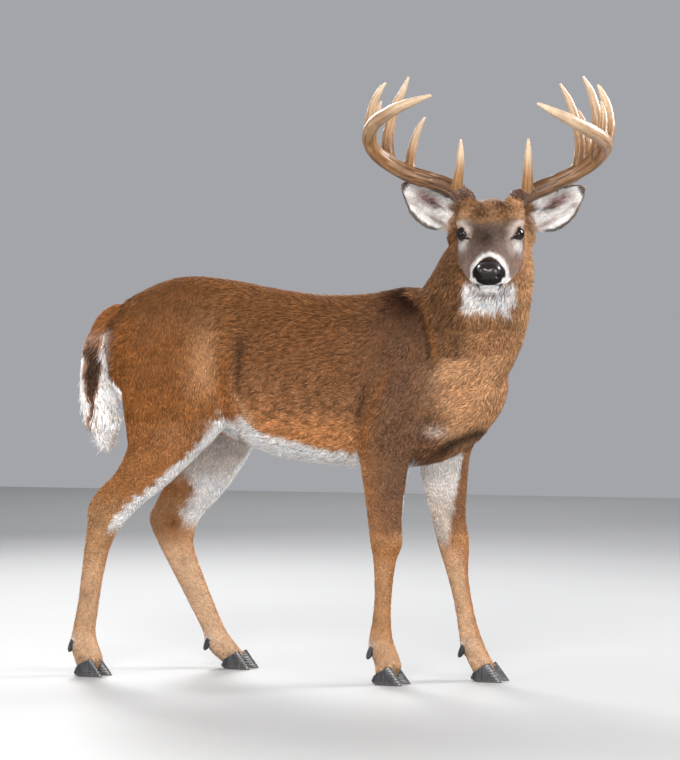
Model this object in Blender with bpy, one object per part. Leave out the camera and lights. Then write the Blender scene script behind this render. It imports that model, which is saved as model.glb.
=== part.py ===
"""White-tailed buck standing with its head turned to its right, life size.

The flesh is one closed body: lofts of oval rings for the trunk, neck, head, legs, ears and tail,
joined by a voxel remesh, smoothed and thinned to few triangles. Thin plates and the hard pieces
then cut it into named pieces. Hooves, eyes, nose and antlers are solids of their own.

Metres, +Z up, +X the way the body heads, +Y the animal's left. The origin lies on the floor under
the middle of the whole.
"""

import math

import bmesh
import bpy
import numpy as np
from mathutils import Matrix, Vector

# ---- driving dimensions, in metres --------------------------------------------------------------

MODEL_SHIFT = Vector((-0.0547, 0.1954, 0.0))  # from the working axes to the bottom centre of the whole
GAP = 0.0004                               # air left by a plate that parts the flesh
CLEARANCE = 0.0009                         # how much a piece grows to cut its neighbour
VOXEL = 0.0045                             # grain of the joined flesh before it is thinned
SMOOTHING_ROUNDS = 9
FLESH_FACES = 2190                         # triangles of the flesh after thinning
RING_POINTS = 28

SPINE_Y = -0.095                           # the spine's place across, at its middle
SPINE_BEND = 0.12                          # how much the spine bows to the right, per metre

EYES_MIDDLE = Vector((0.4675, -0.2555, 1.0704))
HEAD_TURN = math.radians(-74.8)            # heading of the face, from +X towards -Y
HEAD_DROP = math.radians(32)               # the face line below level
EYE_RADIUS = 0.0185
EYE_PLACE = (0.003, 0.0590, 0.006)        # along the face, to the side, up from the face line

EAR_LENGTH = 0.174
EAR_THICKNESS = 0.0075

CLAW_HEIGHT = 0.046
CLAW_HALF_WIDTH = 0.0155
CLAW_TOE, CLAW_HEEL = 0.056, 0.030
CLAW_SPREAD = 0.0178                       # from the foot's middle line to a claw's

# Finishes, as (colour, roughness)
COAT = ((0.30, 0.165, 0.075), 0.85)
SHIN = ((0.46, 0.25, 0.11), 0.85)
HORN = ((0.045, 0.047, 0.055), 0.35)
WET = ((0.012, 0.011, 0.012), 0.20)
BONE = ((0.42, 0.27, 0.14), 0.50)


# ---- shape helpers ------------------------------------------------------------------------------

def spread(stations, count):
    """The rows of stations as a smooth (Catmull-Rom) run of count rows."""
    rows = np.array(stations, float)
    at = np.linspace(0, len(rows) - 1, count)
    i = np.minimum(at.astype(int), len(rows) - 2)
    t = (at - i)[:, None]
    padded = np.vstack([2 * rows[0] - rows[1], rows, 2 * rows[-1] - rows[-2]])
    p0, p1, p2, p3 = (padded[i + k] for k in range(4))
    return 0.5 * (2 * p1 + (p2 - p0) * t + (2 * p0 - 5 * p1 + 4 * p2 - p3) * t**2
                  + (3 * p1 - p0 - 3 * p2 + p3) * t**3)


def unit(v):
    return v / np.linalg.norm(v, axis=-1, keepdims=True)


def frames(path, hint):
    """(side, up) unit vectors at each point of a path, with up kept close to hint."""
    along = unit(np.gradient(path, axis=0))
    up = unit(hint - (along @ hint)[:, None] * along)
    return np.cross(up, along), up


def carried_frames(path, hint):
    """Like frames, but up is carried from point to point, so that a winding tube doesn't twist."""
    along = unit(np.gradient(path, axis=0))
    ups = [hint]
    for direction in along:
        ups.append(unit(ups[-1] - direction * (direction @ ups[-1])))
    return np.cross(ups[1:], along), np.array(ups[1:])


def tube_mesh(name, rings):
    """A closed mesh through rings of equal, even point counts; strips of quads close each end."""
    rings = np.asarray(rings)
    count, points = rings.shape[:2]
    j = np.arange(points)
    k = (j + 1) % points
    faces = []
    for i in range(count - 1):
        a, b = i * points, (i + 1) * points
        faces += np.stack([a + j, a + k, b + k, b + j], 1).tolist()
    strip = np.arange(points // 2 - 1)
    cap = np.stack([strip, points - 1 - strip, points - 2 - strip, strip + 1], 1)
    faces += cap.tolist() + (cap[:, ::-1] + (count - 1) * points).tolist()
    mesh = bpy.data.meshes.new(name)
    mesh.from_pydata(rings.reshape(-1, 3).tolist(), [], faces)
    edit = bmesh.new()
    edit.from_mesh(mesh)
    bmesh.ops.recalc_face_normals(edit, faces=edit.faces)
    edit.to_mesh(mesh)
    edit.free()
    return mesh


def placed(name, mesh, finish=None, helper=False):
    """An object in the scene. A finish, (colour, roughness), gives it a material of its own."""
    obj = bpy.data.objects.new(name, mesh)
    bpy.context.scene.collection.objects.link(obj)
    if finish:
        mesh.materials.clear()
        mesh.materials.append(coloured(name, *finish))
    if helper:
        obj.hide_render = True
        obj.display_type = "WIRE"
    return obj


def ovals(path, side, up, half_side, half_up, egg=0.0, points=RING_POINTS):
    """Rings round a path. egg above 0 makes the side away from up the wider one."""
    turn = np.linspace(0, 2 * math.pi, points, endpoint=False)
    c, s = np.cos(turn), np.sin(turn)
    across = s * (1 - np.reshape(egg, (-1, 1)) * c)
    return (path[:, None] + side[:, None] * (half_side[:, None] * across)[..., None]
            + up[:, None] * (half_up[:, None] * c)[..., None])


def limb(name, stations, hint, count, points=RING_POINTS):
    """Stations are (x, y, z, half depth, half width): a limb's rings, square to its path."""
    rows = spread(stations, count)
    side, up = frames(rows[:, :3], np.array(hint, float))
    return tube_mesh(name, ovals(rows[:, :3], side, up, rows[:, 4], rows[:, 3], points=points))


def join(name, meshes):
    """One mesh holding several."""
    edit = bmesh.new()
    for mesh in meshes:
        edit.from_mesh(mesh)
    joined = bpy.data.meshes.new(name)
    edit.to_mesh(joined)
    edit.free()
    return joined


def with_modifiers(obj):
    """The object's mesh with its modifiers applied; the object goes."""
    graph = bpy.context.evaluated_depsgraph_get()
    mesh = bpy.data.meshes.new_from_object(obj.evaluated_get(graph))
    bpy.data.objects.remove(obj)
    return mesh


def grown(mesh):
    """A copy of mesh pushed out along its normals, to cut a neighbour clear of it."""
    obj = placed("grown", mesh.copy(), helper=True)
    push = obj.modifiers.new("push", "DISPLACE")
    push.mid_level = 0
    push.strength = CLEARANCE
    return with_modifiers(obj)


def cut_away(mesh, cutter):
    """mesh with the closed mesh cutter taken out of it."""
    target, tool = placed("target", mesh), placed("tool", cutter, helper=True)
    boolean = target.modifiers.new("cut", "BOOLEAN")
    boolean.operation = "DIFFERENCE"
    boolean.object = tool
    made = with_modifiers(target)
    bpy.data.objects.remove(tool)
    return made


def coloured(name, rgb, roughness):
    material = bpy.data.materials.new(name)
    material.use_nodes = True
    shader = material.node_tree.nodes["Principled BSDF"]
    shader.inputs["Base Color"].default_value = (*rgb, 1)
    shader.inputs["Roughness"].default_value = roughness
    return material


# ---- trunk and neck -----------------------------------------------------------------------------

def spine_y(x):
    return SPINE_Y - SPINE_BEND * x**2


def trunk():
    """Stations are (x, top, bottom, half width), from the rump to the breast."""
    rows = spread([
        (-0.562, 0.885, 0.790, 0.030),
        (-0.545, 0.914, 0.700, 0.078),
        (-0.480, 0.960, 0.640, 0.122),
        (-0.380, 0.994, 0.615, 0.147),
        (-0.260, 0.987, 0.590, 0.152),
        (-0.130, 0.962, 0.545, 0.158),
        (0.000, 0.945, 0.524, 0.162),
        (0.120, 0.948, 0.518, 0.155),
        (0.220, 0.962, 0.520, 0.140),
        (0.310, 0.945, 0.540, 0.126),
        (0.385, 0.890, 0.585, 0.108),
        (0.435, 0.830, 0.650, 0.080),
        (0.455, 0.780, 0.710, 0.035),
    ], 60)
    x, top, bottom, half = rows.T
    path = np.stack([x, spine_y(x), (top + bottom) / 2], 1)
    side = np.stack([2 * SPINE_BEND * x, np.ones_like(x), 0 * x], 1)
    up = np.tile([0.0, 0.0, 1.0], (len(x), 1))
    return tube_mesh("trunk", ovals(path, unit(side), up, half, (top - bottom) / 2, 0.12, 40))


def neck():
    return limb("neck", [
        (0.250, -0.100, 0.735, 0.190, 0.120),
        (0.320, -0.112, 0.800, 0.165, 0.124),
        (0.376, -0.124, 0.875, 0.150, 0.120),
        (0.411, -0.140, 0.950, 0.131, 0.112),
        (0.437, -0.158, 1.020, 0.113, 0.100),
        (0.449, -0.178, 1.075, 0.086, 0.080),
        (0.446, -0.190, 1.105, 0.050, 0.055),
    ], (1, -0.3, 0), 26)


# ---- legs ---------------------------------------------------------------------------------------

# Level rings from the body down to the foot: (height, back, front, middle across, half width).
LEGS = {
    "foreleg_right": [
        (0.830, 0.180, 0.345, -0.170, 0.050), (0.740, 0.130, 0.350, -0.188, 0.058),
        (0.650, 0.112, 0.318, -0.195, 0.060), (0.590, 0.110, 0.276, -0.192, 0.057),
        (0.534, 0.119, 0.246, -0.186, 0.052), (0.493, 0.125, 0.238, -0.183, 0.048),
        (0.444, 0.132, 0.227, -0.180, 0.042), (0.384, 0.139, 0.222, -0.177, 0.038),
        (0.336, 0.143, 0.222, -0.175, 0.037), (0.294, 0.149, 0.206, -0.172, 0.032),
        (0.207, 0.150, 0.194, -0.170, 0.025), (0.142, 0.142, 0.193, -0.168, 0.025),
        (0.105, 0.135, 0.197, -0.168, 0.030), (0.077, 0.139, 0.208, -0.168, 0.032),
        (0.048, 0.150, 0.217, -0.168, 0.031), (0.017, 0.152, 0.206, -0.168, 0.025)],
    "foreleg_left": [
        (0.830, 0.230, 0.390, -0.030, 0.050), (0.740, 0.195, 0.410, -0.016, 0.058),
        (0.650, 0.190, 0.388, -0.010, 0.058), (0.590, 0.198, 0.360, -0.010, 0.055),
        (0.548, 0.206, 0.344, -0.012, 0.052), (0.512, 0.214, 0.340, -0.014, 0.050),
        (0.460, 0.228, 0.336, -0.016, 0.046), (0.402, 0.246, 0.333, -0.017, 0.040),
        (0.328, 0.264, 0.343, -0.019, 0.037), (0.263, 0.285, 0.342, -0.021, 0.029),
        (0.198, 0.303, 0.351, -0.023, 0.025), (0.134, 0.315, 0.367, -0.025, 0.025),
        (0.090, 0.322, 0.383, -0.025, 0.031), (0.062, 0.334, 0.396, -0.025, 0.032),
        (0.040, 0.346, 0.408, -0.025, 0.031), (0.016, 0.358, 0.406, -0.025, 0.025)],
    "hindleg_right": [
        (0.880, -0.470, -0.270, -0.180, 0.060), (0.800, -0.510, -0.225, -0.190, 0.074),
        (0.730, -0.508, -0.195, -0.198, 0.082), (0.665, -0.500, -0.198, -0.202, 0.082),
        (0.609, -0.490, -0.236, -0.205, 0.077), (0.560, -0.486, -0.284, -0.210, 0.066),
        (0.497, -0.518, -0.350, -0.216, 0.052), (0.460, -0.557, -0.393, -0.221, 0.043),
        (0.419, -0.584, -0.446, -0.227, 0.037), (0.377, -0.583, -0.486, -0.232, 0.034),
        (0.327, -0.588, -0.517, -0.238, 0.031), (0.253, -0.596, -0.536, -0.243, 0.027),
        (0.171, -0.605, -0.547, -0.249, 0.025), (0.109, -0.616, -0.553, -0.254, 0.028),
        (0.074, -0.619, -0.544, -0.257, 0.032), (0.049, -0.610, -0.534, -0.258, 0.032),
        (0.017, -0.598, -0.542, -0.258, 0.026)],
    "hindleg_left": [
        (0.880, -0.450, -0.260, -0.040, 0.060), (0.800, -0.485, -0.215, -0.030, 0.074),
        (0.730, -0.490, -0.175, -0.022, 0.082), (0.665, -0.495, -0.170, -0.018, 0.080),
        (0.620, -0.500, -0.188, -0.016, 0.076), (0.580, -0.502, -0.214, -0.014, 0.070),
        (0.528, -0.490, -0.250, -0.011, 0.060), (0.472, -0.474, -0.292, -0.008, 0.050),
        (0.425, -0.496, -0.334, -0.006, 0.042), (0.394, -0.515, -0.368, -0.003, 0.037),
        (0.366, -0.519, -0.387, 0.000, 0.035), (0.314, -0.498, -0.400, 0.003, 0.031),
        (0.238, -0.457, -0.375, 0.006, 0.027), (0.155, -0.411, -0.340, 0.008, 0.025),
        (0.096, -0.379, -0.314, 0.010, 0.028), (0.060, -0.366, -0.285, 0.010, 0.032),
        (0.038, -0.349, -0.268, 0.010, 0.031), (0.015, -0.318, -0.266, 0.010, 0.025)],
}


def leg(name):
    z, back, front, y, half = spread(LEGS[name], 70).T
    path = np.stack([(back + front) / 2, y, z], 1)
    side, up = np.tile([0.0, 1.0, 0.0], (len(z), 1)), np.tile([1.0, 0.0, 0.0], (len(z), 1))
    return tube_mesh(name, ovals(path, side, up, half, (front - back) / 2))


# ---- head ---------------------------------------------------------------------------------------

FACING = Vector((math.cos(HEAD_TURN), math.sin(HEAD_TURN), 0))
HEAD_SIDE = Vector((0, 0, 1)).cross(FACING)
FACE_LINE = FACING * math.cos(HEAD_DROP) - Vector((0, 0, math.sin(HEAD_DROP)))
BROW_UP = FACING * math.sin(HEAD_DROP) + Vector((0, 0, math.cos(HEAD_DROP)))
HEAD_AXES = Matrix((FACE_LINE, HEAD_SIDE, BROW_UP)).transposed()


def on_head(along, aside, above):
    """A point given along the face line, to the head's left and up from the eyes' middle."""
    return EYES_MIDDLE + HEAD_AXES @ Vector((along, aside, above))


def skull():
    """Stations are (along, half width, top, bottom), from the nape to the nose."""
    rows = spread([
        (-0.150, 0.030, 0.010, -0.035),
        (-0.130, 0.055, 0.030, -0.060),
        (-0.090, 0.074, 0.042, -0.090),
        (-0.045, 0.079, 0.047, -0.100),
        (0.000, 0.076, 0.042, -0.100),
        (0.035, 0.067, 0.036, -0.087),
        (0.070, 0.058, 0.031, -0.071),
        (0.110, 0.049, 0.029, -0.059),
        (0.145, 0.044, 0.030, -0.051),
        (0.172, 0.041, 0.029, -0.044),
        (0.194, 0.027, 0.018, -0.030),
    ], 44)
    along, half, top, bottom = rows.T
    axes = np.array(HEAD_AXES)
    path = np.array(EYES_MIDDLE) + np.outer(along, axes[:, 0]) + np.outer((top + bottom) / 2, axes[:, 2])
    side, up = (np.tile(axes[:, k], (len(rows), 1)) for k in (1, 2))
    return tube_mesh("skull", ovals(path, side, up, half, (top - bottom) / 2, 0.12))


def head_limb(name, side, points, hint, count):
    """A round tube on the head through (along, aside, up, radius), mirrored by side."""
    return limb(name, [(*on_head(a, side * b, c), r, r) for a, b, c, r in points], hint, count)


def brow(side):
    """The bony ridge that roofs the eye."""
    return head_limb("brow", side, [
        (-0.055, 0.058, 0.022, 0.020), (-0.016, 0.066, 0.027, 0.017), (0.022, 0.052, 0.024, 0.012)], HEAD_SIDE, 12)


def orbit(side):
    """The round of bone and lid that holds the eye, set a little behind it."""
    return head_limb("orbit", side, [
        (-0.0103, 0.0467, -0.0023, 0.0214), (-0.0023, 0.0541, 0.0027, 0.0245), (0.0044, 0.0603, 0.0069, 0.0224),
        (0.0097, 0.0652, 0.0102, 0.0166), (0.0127, 0.0680, 0.0121, 0.0097)], BROW_UP, 12)


def jaw(side):
    """The cheek muscle and the branch of the jaw below the eye."""
    return head_limb("jaw", side, [
        (-0.050, 0.049, -0.050, 0.032), (0.000, 0.049, -0.062, 0.032), (0.040, 0.043, -0.058, 0.027),
        (0.080, 0.037, -0.053, 0.022), (0.120, 0.030, -0.046, 0.0175)], BROW_UP, 12)


def chin(side):
    """Half of the lower lip and chin, under the nose."""
    return head_limb("chin", side, [
        (0.100, 0.012, -0.046, 0.0190), (0.140, 0.010, -0.046, 0.0190), (0.166, 0.0085, -0.043, 0.0180),
        (0.180, 0.0075, -0.038, 0.0140)], BROW_UP, 10)


def pedicle(side):
    """The bone that the antler grows from, under the skin."""
    return head_limb("pedicle", side, [(-0.062, 0.042, 0.005, 0.027), (-0.090, 0.060, 0.050, 0.021)], FACE_LINE, 6)


def ear_root(side):
    """The muscle that the ear stands on, running down behind the eye to the cheek."""
    return head_limb("ear_root", side, [
        (-0.095, 0.046, -0.005, 0.034), (-0.098, 0.066, -0.022, 0.034), (-0.094, 0.078, -0.045, 0.031),
        (-0.082, 0.068, -0.068, 0.026)], FACE_LINE, 10)


EAR_AXIS = {1: (0.888, 0.445, -0.110), -1: (0.848, 0.518, -0.110)}      # to the side, up, forward


def ear(side):
    """A cupped leaf, open to the front: a C-shaped wall that narrows to its tip and its root.

    Stations are (share of the length, lower half width, upper half width).
    """
    root = np.array(on_head(-0.105, side * 0.066, -0.018))
    aside, up, forward = EAR_AXIS[side]
    facing = np.array(FACING)
    axis = unit(np.array(HEAD_SIDE) * side * aside + np.array([0, 0, up]) + facing * forward)
    opening = unit(facing + np.array(HEAD_SIDE) * side * 0.25)
    opening = unit(opening - axis * (axis @ opening))
    across = np.cross(axis, opening)
    across *= -np.sign(across[2])
    t, lower, upper = spread([
        (0.00, 0.024, 0.024), (0.14, 0.041, 0.032), (0.29, 0.054, 0.035), (0.43, 0.061, 0.034),
        (0.58, 0.059, 0.031), (0.72, 0.050, 0.028), (0.85, 0.031, 0.023), (0.95, 0.016, 0.014),
        (1.00, 0.004, 0.004)], 12).T
    half, middle = (lower + upper) / 2, (lower - upper) / 2
    bow = 0.012 * np.sin(t * math.pi)
    centre = root + np.outer(EAR_LENGTH * t, axis) + np.outer(middle, across) - np.outer(bow, opening)
    cup = 0.75 * half * (1 - 0.50 * t)
    v = np.linspace(-1, 1, 7)
    arc = (centre[:, None] + across * (half[:, None] * v)[..., None]
           - opening * (cup[:, None] * (1 - v**2))[..., None])
    back = arc - opening * EAR_THICKNESS
    return tube_mesh("ear", np.concatenate([arc, back[:, ::-1]], 1))


def tail():
    """Stations are (x, y, z, half depth, half width): a flat hanging brush."""
    return limb("tail", [
        (-0.515, -0.120, 0.905, 0.020, 0.024),
        (-0.548, -0.130, 0.897, 0.027, 0.032),
        (-0.576, -0.140, 0.871, 0.030, 0.038),
        (-0.597, -0.155, 0.815, 0.030, 0.042),
        (-0.600, -0.165, 0.765, 0.032, 0.045),
        (-0.591, -0.175, 0.710, 0.041, 0.048),
        (-0.581, -0.180, 0.680, 0.046, 0.048),
        (-0.566, -0.184, 0.634, 0.041, 0.042),
        (-0.560, -0.188, 0.590, 0.024, 0.027),
        (-0.558, -0.189, 0.552, 0.006, 0.008),
    ], (1, 0.35, 0), 13, 14)


def flesh():
    """All the soft parts as one closed mesh of few triangles."""
    pieces = [trunk(), neck(), skull()]
    pieces += [leg(name) for name in LEGS]
    pieces += [make(side) for make in (brow, orbit, jaw, chin, pedicle, ear_root) for side in (-1, 1)]
    body = placed("flesh", join("flesh", pieces))
    remesh = body.modifiers.new("join", "REMESH")
    remesh.mode = "VOXEL"
    remesh.voxel_size = VOXEL
    smooth = body.modifiers.new("smooth", "SMOOTH")
    smooth.factor = 0.6
    smooth.iterations = SMOOTHING_ROUNDS
    whole = with_modifiers(body)
    thin = placed("flesh", whole)
    decimate = thin.modifiers.new("thin", "DECIMATE")
    decimate.ratio = FLESH_FACES / (2 * len(whole.polygons))
    return with_modifiers(thin)


# ---- hard pieces, as rings ----------------------------------------------------------------------

def claw_rings(foot, inner):
    """One half of a cloven hoof: pointed at the toe, with a sloping front, a low heel
    and a sole that rises a little behind."""
    x, y, turn = foot
    turn_round = np.linspace(0, 2 * math.pi, 12, endpoint=False)
    c, s = np.cos(turn_round), np.sin(turn_round)
    share = np.array([0.0, 0.35, 0.7, 1.0])
    toe = CLAW_TOE * (1 - 0.62 * share)
    heel = CLAW_HEEL * (1 - 0.18 * share)
    half = CLAW_HALF_WIDTH * (1 - 0.10 * share)
    long = np.where(c > 0, toe[:, None] * c, heel[:, None] * c)
    wide = half[:, None] * s * (1 - 0.42 * np.clip(c, 0, 1))
    crown = CLAW_HEIGHT + 0.59 * (long[-1] - toe[-1])
    sole = 0.008 * np.clip(-c, 0, 1)**2
    up = sole + share[:, None] * (crown - sole)
    wide = wide + inner * (CLAW_SPREAD + 0.006 * np.clip(long / CLAW_TOE, 0, 1))
    cos, sin = math.cos(turn), math.sin(turn)
    return np.stack([x + long * cos - wide * sin, y + long * sin + wide * cos, up], -1)


def dewclaw_rings(foot, inner):
    """A small blunt cone behind the fetlock, pointing down and back."""
    x, y, turn, height = foot
    across = np.array([-math.sin(turn), math.cos(turn), 0])
    start = np.array([x, y, height]) + across * inner * 0.0200
    slope = np.array([-0.015 * math.cos(turn), -0.015 * math.sin(turn), -0.030])
    steps = np.array([(0.0, 0.0095), (0.4, 0.0100), (0.75, 0.0080), (1.0, 0.0035)])
    path = start + np.outer(steps[:, 0], slope)
    radius = steps[:, 1]
    side, up = frames(path, across)
    return ovals(path, side, up, radius, radius, points=8)


def ball_rings(centre, radii, axes, rings=7, points=10):
    """An ellipsoid about centre, with its pole along the first axis."""
    swing = np.linspace(0.25, math.pi - 0.25, rings)
    turn = np.linspace(0, 2 * math.pi, points, endpoint=False)
    a, b, c = radii
    local = np.stack([np.repeat(a * np.cos(swing)[:, None], points, 1),
                      b * np.outer(np.sin(swing), np.cos(turn)),
                      c * np.outer(np.sin(swing), np.sin(turn))], -1)
    return np.array(centre) + local @ np.array(axes).T


def eye_rings(side):
    along, aside, above = EYE_PLACE
    return ball_rings(on_head(along, side * aside, above), [EYE_RADIUS] * 3, HEAD_AXES)


def nose_rings():
    """The bare nose pad."""
    return ball_rings(on_head(0.180, 0, 0.004), (0.022, 0.0285, 0.0245), HEAD_AXES)


def from_brow(side, point):
    """An antler's points are given to the side, up and forward of the eyes' middle."""
    aside, up, forward = point
    return np.array(EYES_MIDDLE + HEAD_SIDE * (side * aside) + Vector((0, 0, up)) + FACING * forward)


# Each antler: the beam's stations, then each tine's, as (side, up, forward, radius).
RIGHT_BEAM = [
    (0.052, 0.066, -0.062, 0.0200), (0.060, 0.088, -0.064, 0.0215), (0.084, 0.113, -0.075, 0.0205),
    (0.118, 0.130, -0.090, 0.0200), (0.162, 0.143, -0.100, 0.0200), (0.207, 0.159, -0.098, 0.0200),
    (0.246, 0.181, -0.080, 0.0190), (0.276, 0.206, -0.045, 0.0180), (0.284, 0.236, 0.000, 0.0175),
    (0.268, 0.261, 0.050, 0.0165), (0.234, 0.279, 0.098, 0.0145), (0.190, 0.295, 0.138, 0.0115),
    (0.131, 0.311, 0.170, 0.0045)]
RIGHT_TINES = {
    "brow_tine": [(0.080, 0.106, -0.074, 0.0150), (0.079, 0.130, -0.056, 0.0130),
                  (0.073, 0.168, -0.040, 0.0105), (0.071, 0.202, -0.030, 0.0075), (0.0705, 0.231, -0.025, 0.0030)],
    "second_tine": [(0.192, 0.150, -0.098, 0.0150), (0.194, 0.178, -0.105, 0.0130),
                    (0.189, 0.217, -0.110, 0.0110), (0.176, 0.257, -0.108, 0.0080), (0.158, 0.290, -0.100, 0.0032)],
    "third_tine": [(0.244, 0.180, -0.080, 0.0170), (0.247, 0.215, -0.088, 0.0150), (0.243, 0.262, -0.095, 0.0130),
                   (0.228, 0.315, -0.090, 0.0105), (0.209, 0.352, -0.080, 0.0075), (0.195, 0.383, -0.068, 0.0032)],
    "fourth_tine": [(0.282, 0.222, -0.018, 0.0150), (0.286, 0.255, -0.026, 0.0130), (0.281, 0.300, -0.032, 0.0110),
                    (0.266, 0.338, -0.030, 0.0080), (0.246, 0.365, -0.025, 0.0032)],
    "fifth_tine": [(0.274, 0.250, 0.022, 0.0110), (0.267, 0.285, 0.010, 0.0080), (0.255, 0.318, 0.004, 0.0028)]}
LEFT_BEAM = [
    (0.052, 0.066, -0.062, 0.0200), (0.062, 0.086, -0.064, 0.0215), (0.084, 0.101, -0.075, 0.0205),
    (0.112, 0.114, -0.088, 0.0195), (0.150, 0.131, -0.098, 0.0190), (0.195, 0.152, -0.098, 0.0185),
    (0.233, 0.174, -0.082, 0.0180), (0.260, 0.196, -0.045, 0.0175), (0.266, 0.213, 0.000, 0.0175),
    (0.252, 0.226, 0.050, 0.0170), (0.218, 0.242, 0.098, 0.0155), (0.170, 0.263, 0.140, 0.0125),
    (0.110, 0.290, 0.172, 0.0045)]
LEFT_TINES = {
    "brow_tine": [(0.084, 0.100, -0.074, 0.0160), (0.086, 0.128, -0.056, 0.0135),
                  (0.087, 0.168, -0.040, 0.0110), (0.088, 0.202, -0.030, 0.0075), (0.088, 0.230, -0.025, 0.0030)],
    "second_tine": [(0.203, 0.158, -0.096, 0.0150), (0.210, 0.214, -0.104, 0.0130), (0.206, 0.252, -0.106, 0.0125),
                    (0.196, 0.292, -0.104, 0.0110), (0.181, 0.332, -0.098, 0.0085), (0.162, 0.365, -0.088, 0.0035)],
    "second_side_tine": [(0.224, 0.168, -0.112, 0.0120), (0.228, 0.232, -0.132, 0.0100),
                         (0.217, 0.280, -0.136, 0.0075), (0.204, 0.310, -0.132, 0.0028)],
    "third_tine": [(0.246, 0.186, -0.062, 0.0160), (0.252, 0.246, -0.078, 0.0140), (0.247, 0.300, -0.082, 0.0120),
                   (0.234, 0.345, -0.076, 0.0090), (0.216, 0.379, -0.064, 0.0035)],
    "fourth_tine": [(0.266, 0.206, -0.014, 0.0150), (0.277, 0.255, -0.024, 0.0135), (0.271, 0.305, -0.028, 0.0110),
                    (0.260, 0.334, -0.026, 0.0080), (0.249, 0.355, -0.022, 0.0032)],
    "fifth_tine": [(0.260, 0.222, 0.026, 0.0110), (0.263, 0.276, 0.016, 0.0085), (0.257, 0.314, 0.010, 0.0028)]}
BEAM_FORKS = (0.40, 0.66)                  # where a beam is parted, as shares of its stations


def antler_tube(side, stations, count=23, points=8):
    rows = spread(stations, count)
    path = np.array([from_brow(side, row[:3]) for row in rows])
    radius = rows[:, 3]
    across, up = carried_frames(path, np.array(FACING))
    return ovals(path, across, up, radius, radius, points=points)


def antler(side, name, beam, tines):
    """The beam in three lengths, and each tine cut to fit against it and the tines before it."""
    whole = antler_tube(side, beam)
    cuts = [0, *(round(share * (len(whole) - 1)) for share in BEAM_FORKS), len(whole) - 1]
    for label, first, last in zip(("lower", "middle", "tip"), cuts, cuts[1:]):
        rings = whole[first:last + 1].copy()
        if first:
            rings[0] += unit(rings[1].mean(0) - rings[0].mean(0)) * GAP
        placed(f"{name}_beam_{label}", tube_mesh(label, rings), BONE)
    taken = [grown(tube_mesh("cutter", whole))]
    for tine, stations in tines.items():
        mesh = tube_mesh(tine, antler_tube(side, stations, count=6, points=8))
        after = grown(mesh)
        for cutter in taken:
            mesh = cut_away(mesh, cutter.copy())
        placed(f"{name}_{tine}", mesh, BONE)
        taken.append(after)


# ---- parting the flesh --------------------------------------------------------------------------

def plate(centre, normal, half_long, half_wide):
    """A thin plate square to normal, its long way as near to X as it can be."""
    n = unit(np.array(normal, float))
    a = unit(np.array([1.0, 0, 0]) - n * n[0])
    b = np.cross(n, a)
    corners = [np.array(centre) + n * z * GAP / 2 + a * x * half_long + b * y * half_wide
               for z in (-1, 1) for x, y in ((-1, -1), (1, -1), (1, 1), (-1, 1))]
    mesh = bpy.data.meshes.new("plate")
    mesh.from_pydata([tuple(c) for c in corners], [],
                     [(3, 2, 1, 0), (4, 5, 6, 7), (0, 1, 5, 4), (1, 2, 6, 5), (2, 3, 7, 6), (3, 0, 4, 7)])
    edit = bmesh.new()
    edit.from_mesh(mesh)
    bmesh.ops.recalc_face_normals(edit, faces=edit.faces)
    edit.to_mesh(mesh)
    edit.free()
    return mesh


def loose_parts(mesh):
    """The separate bodies of a mesh, as meshes."""
    edit = bmesh.new()
    edit.from_mesh(mesh)
    edit.faces.ensure_lookup_table()
    left, parts = set(edit.faces), []
    while left:
        heap = [left.pop()]
        part = set(heap)
        while heap:
            for edge in heap.pop().edges:
                for face in edge.link_faces:
                    if face in left:
                        left.discard(face)
                        part.add(face)
                        heap.append(face)
        other = bmesh.new()
        made = {}
        for face in part:
            for v in face.verts:
                if v.index not in made:
                    made[v.index] = other.verts.new(v.co)
            other.faces.new([made[v.index] for v in face.verts])
        piece = bpy.data.meshes.new("part")
        other.to_mesh(piece)
        other.free()
        parts.append(piece)
    edit.free()
    return parts


# A foot: the hoof's middle (x, y), its heading, and the dewclaws' place (x, y, heading, height).
FEET = {
    "foreleg_right": ((0.179, -0.168, -0.12), (0.155, -0.168, -0.12, 0.090)),
    "foreleg_left": ((0.385, -0.025, -0.10), (0.341, -0.024, -0.10, 0.086)),
    "hindleg_right": ((-0.571, -0.258, -0.12), (-0.599, -0.256, -0.12, 0.088)),
    "hindleg_left": ((-0.287, 0.010, -0.12), (-0.347, 0.009, -0.12, 0.074)),
}

# Where the flesh is parted: the plate's middle, normal, and half sizes.
PLATES = [
    ((0.355, -0.115, 0.840), (0.765, 0, 0.644), 0.215, 0.190),
    (on_head(-0.067, 0, -0.053), FACE_LINE * 0.36 + BROW_UP * 0.933, 0.135, 0.160),
    ((0.188, -0.193, 0.500), (0, 0, 1), 0.085, 0.065),
    ((0.281, -0.012, 0.500), (0, 0, 1), 0.085, 0.065),
    ((0.184, -0.179, 0.318), (0, 0, 1), 0.060, 0.060),
    ((0.303, -0.013, 0.306), (0, 0, 1), 0.060, 0.060),
    ((-0.395, -0.206, 0.570), (0.2, 0, 1), 0.165, 0.100),
    ((-0.360, -0.014, 0.570), (0.1, 0, 1), 0.180, 0.098),
    ((-0.558, -0.234, 0.335), (0.15, 0, 1), 0.070, 0.060),
    ((-0.440, 0.002, 0.330), (-0.3, 0, 1), 0.070, 0.060),
]

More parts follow.
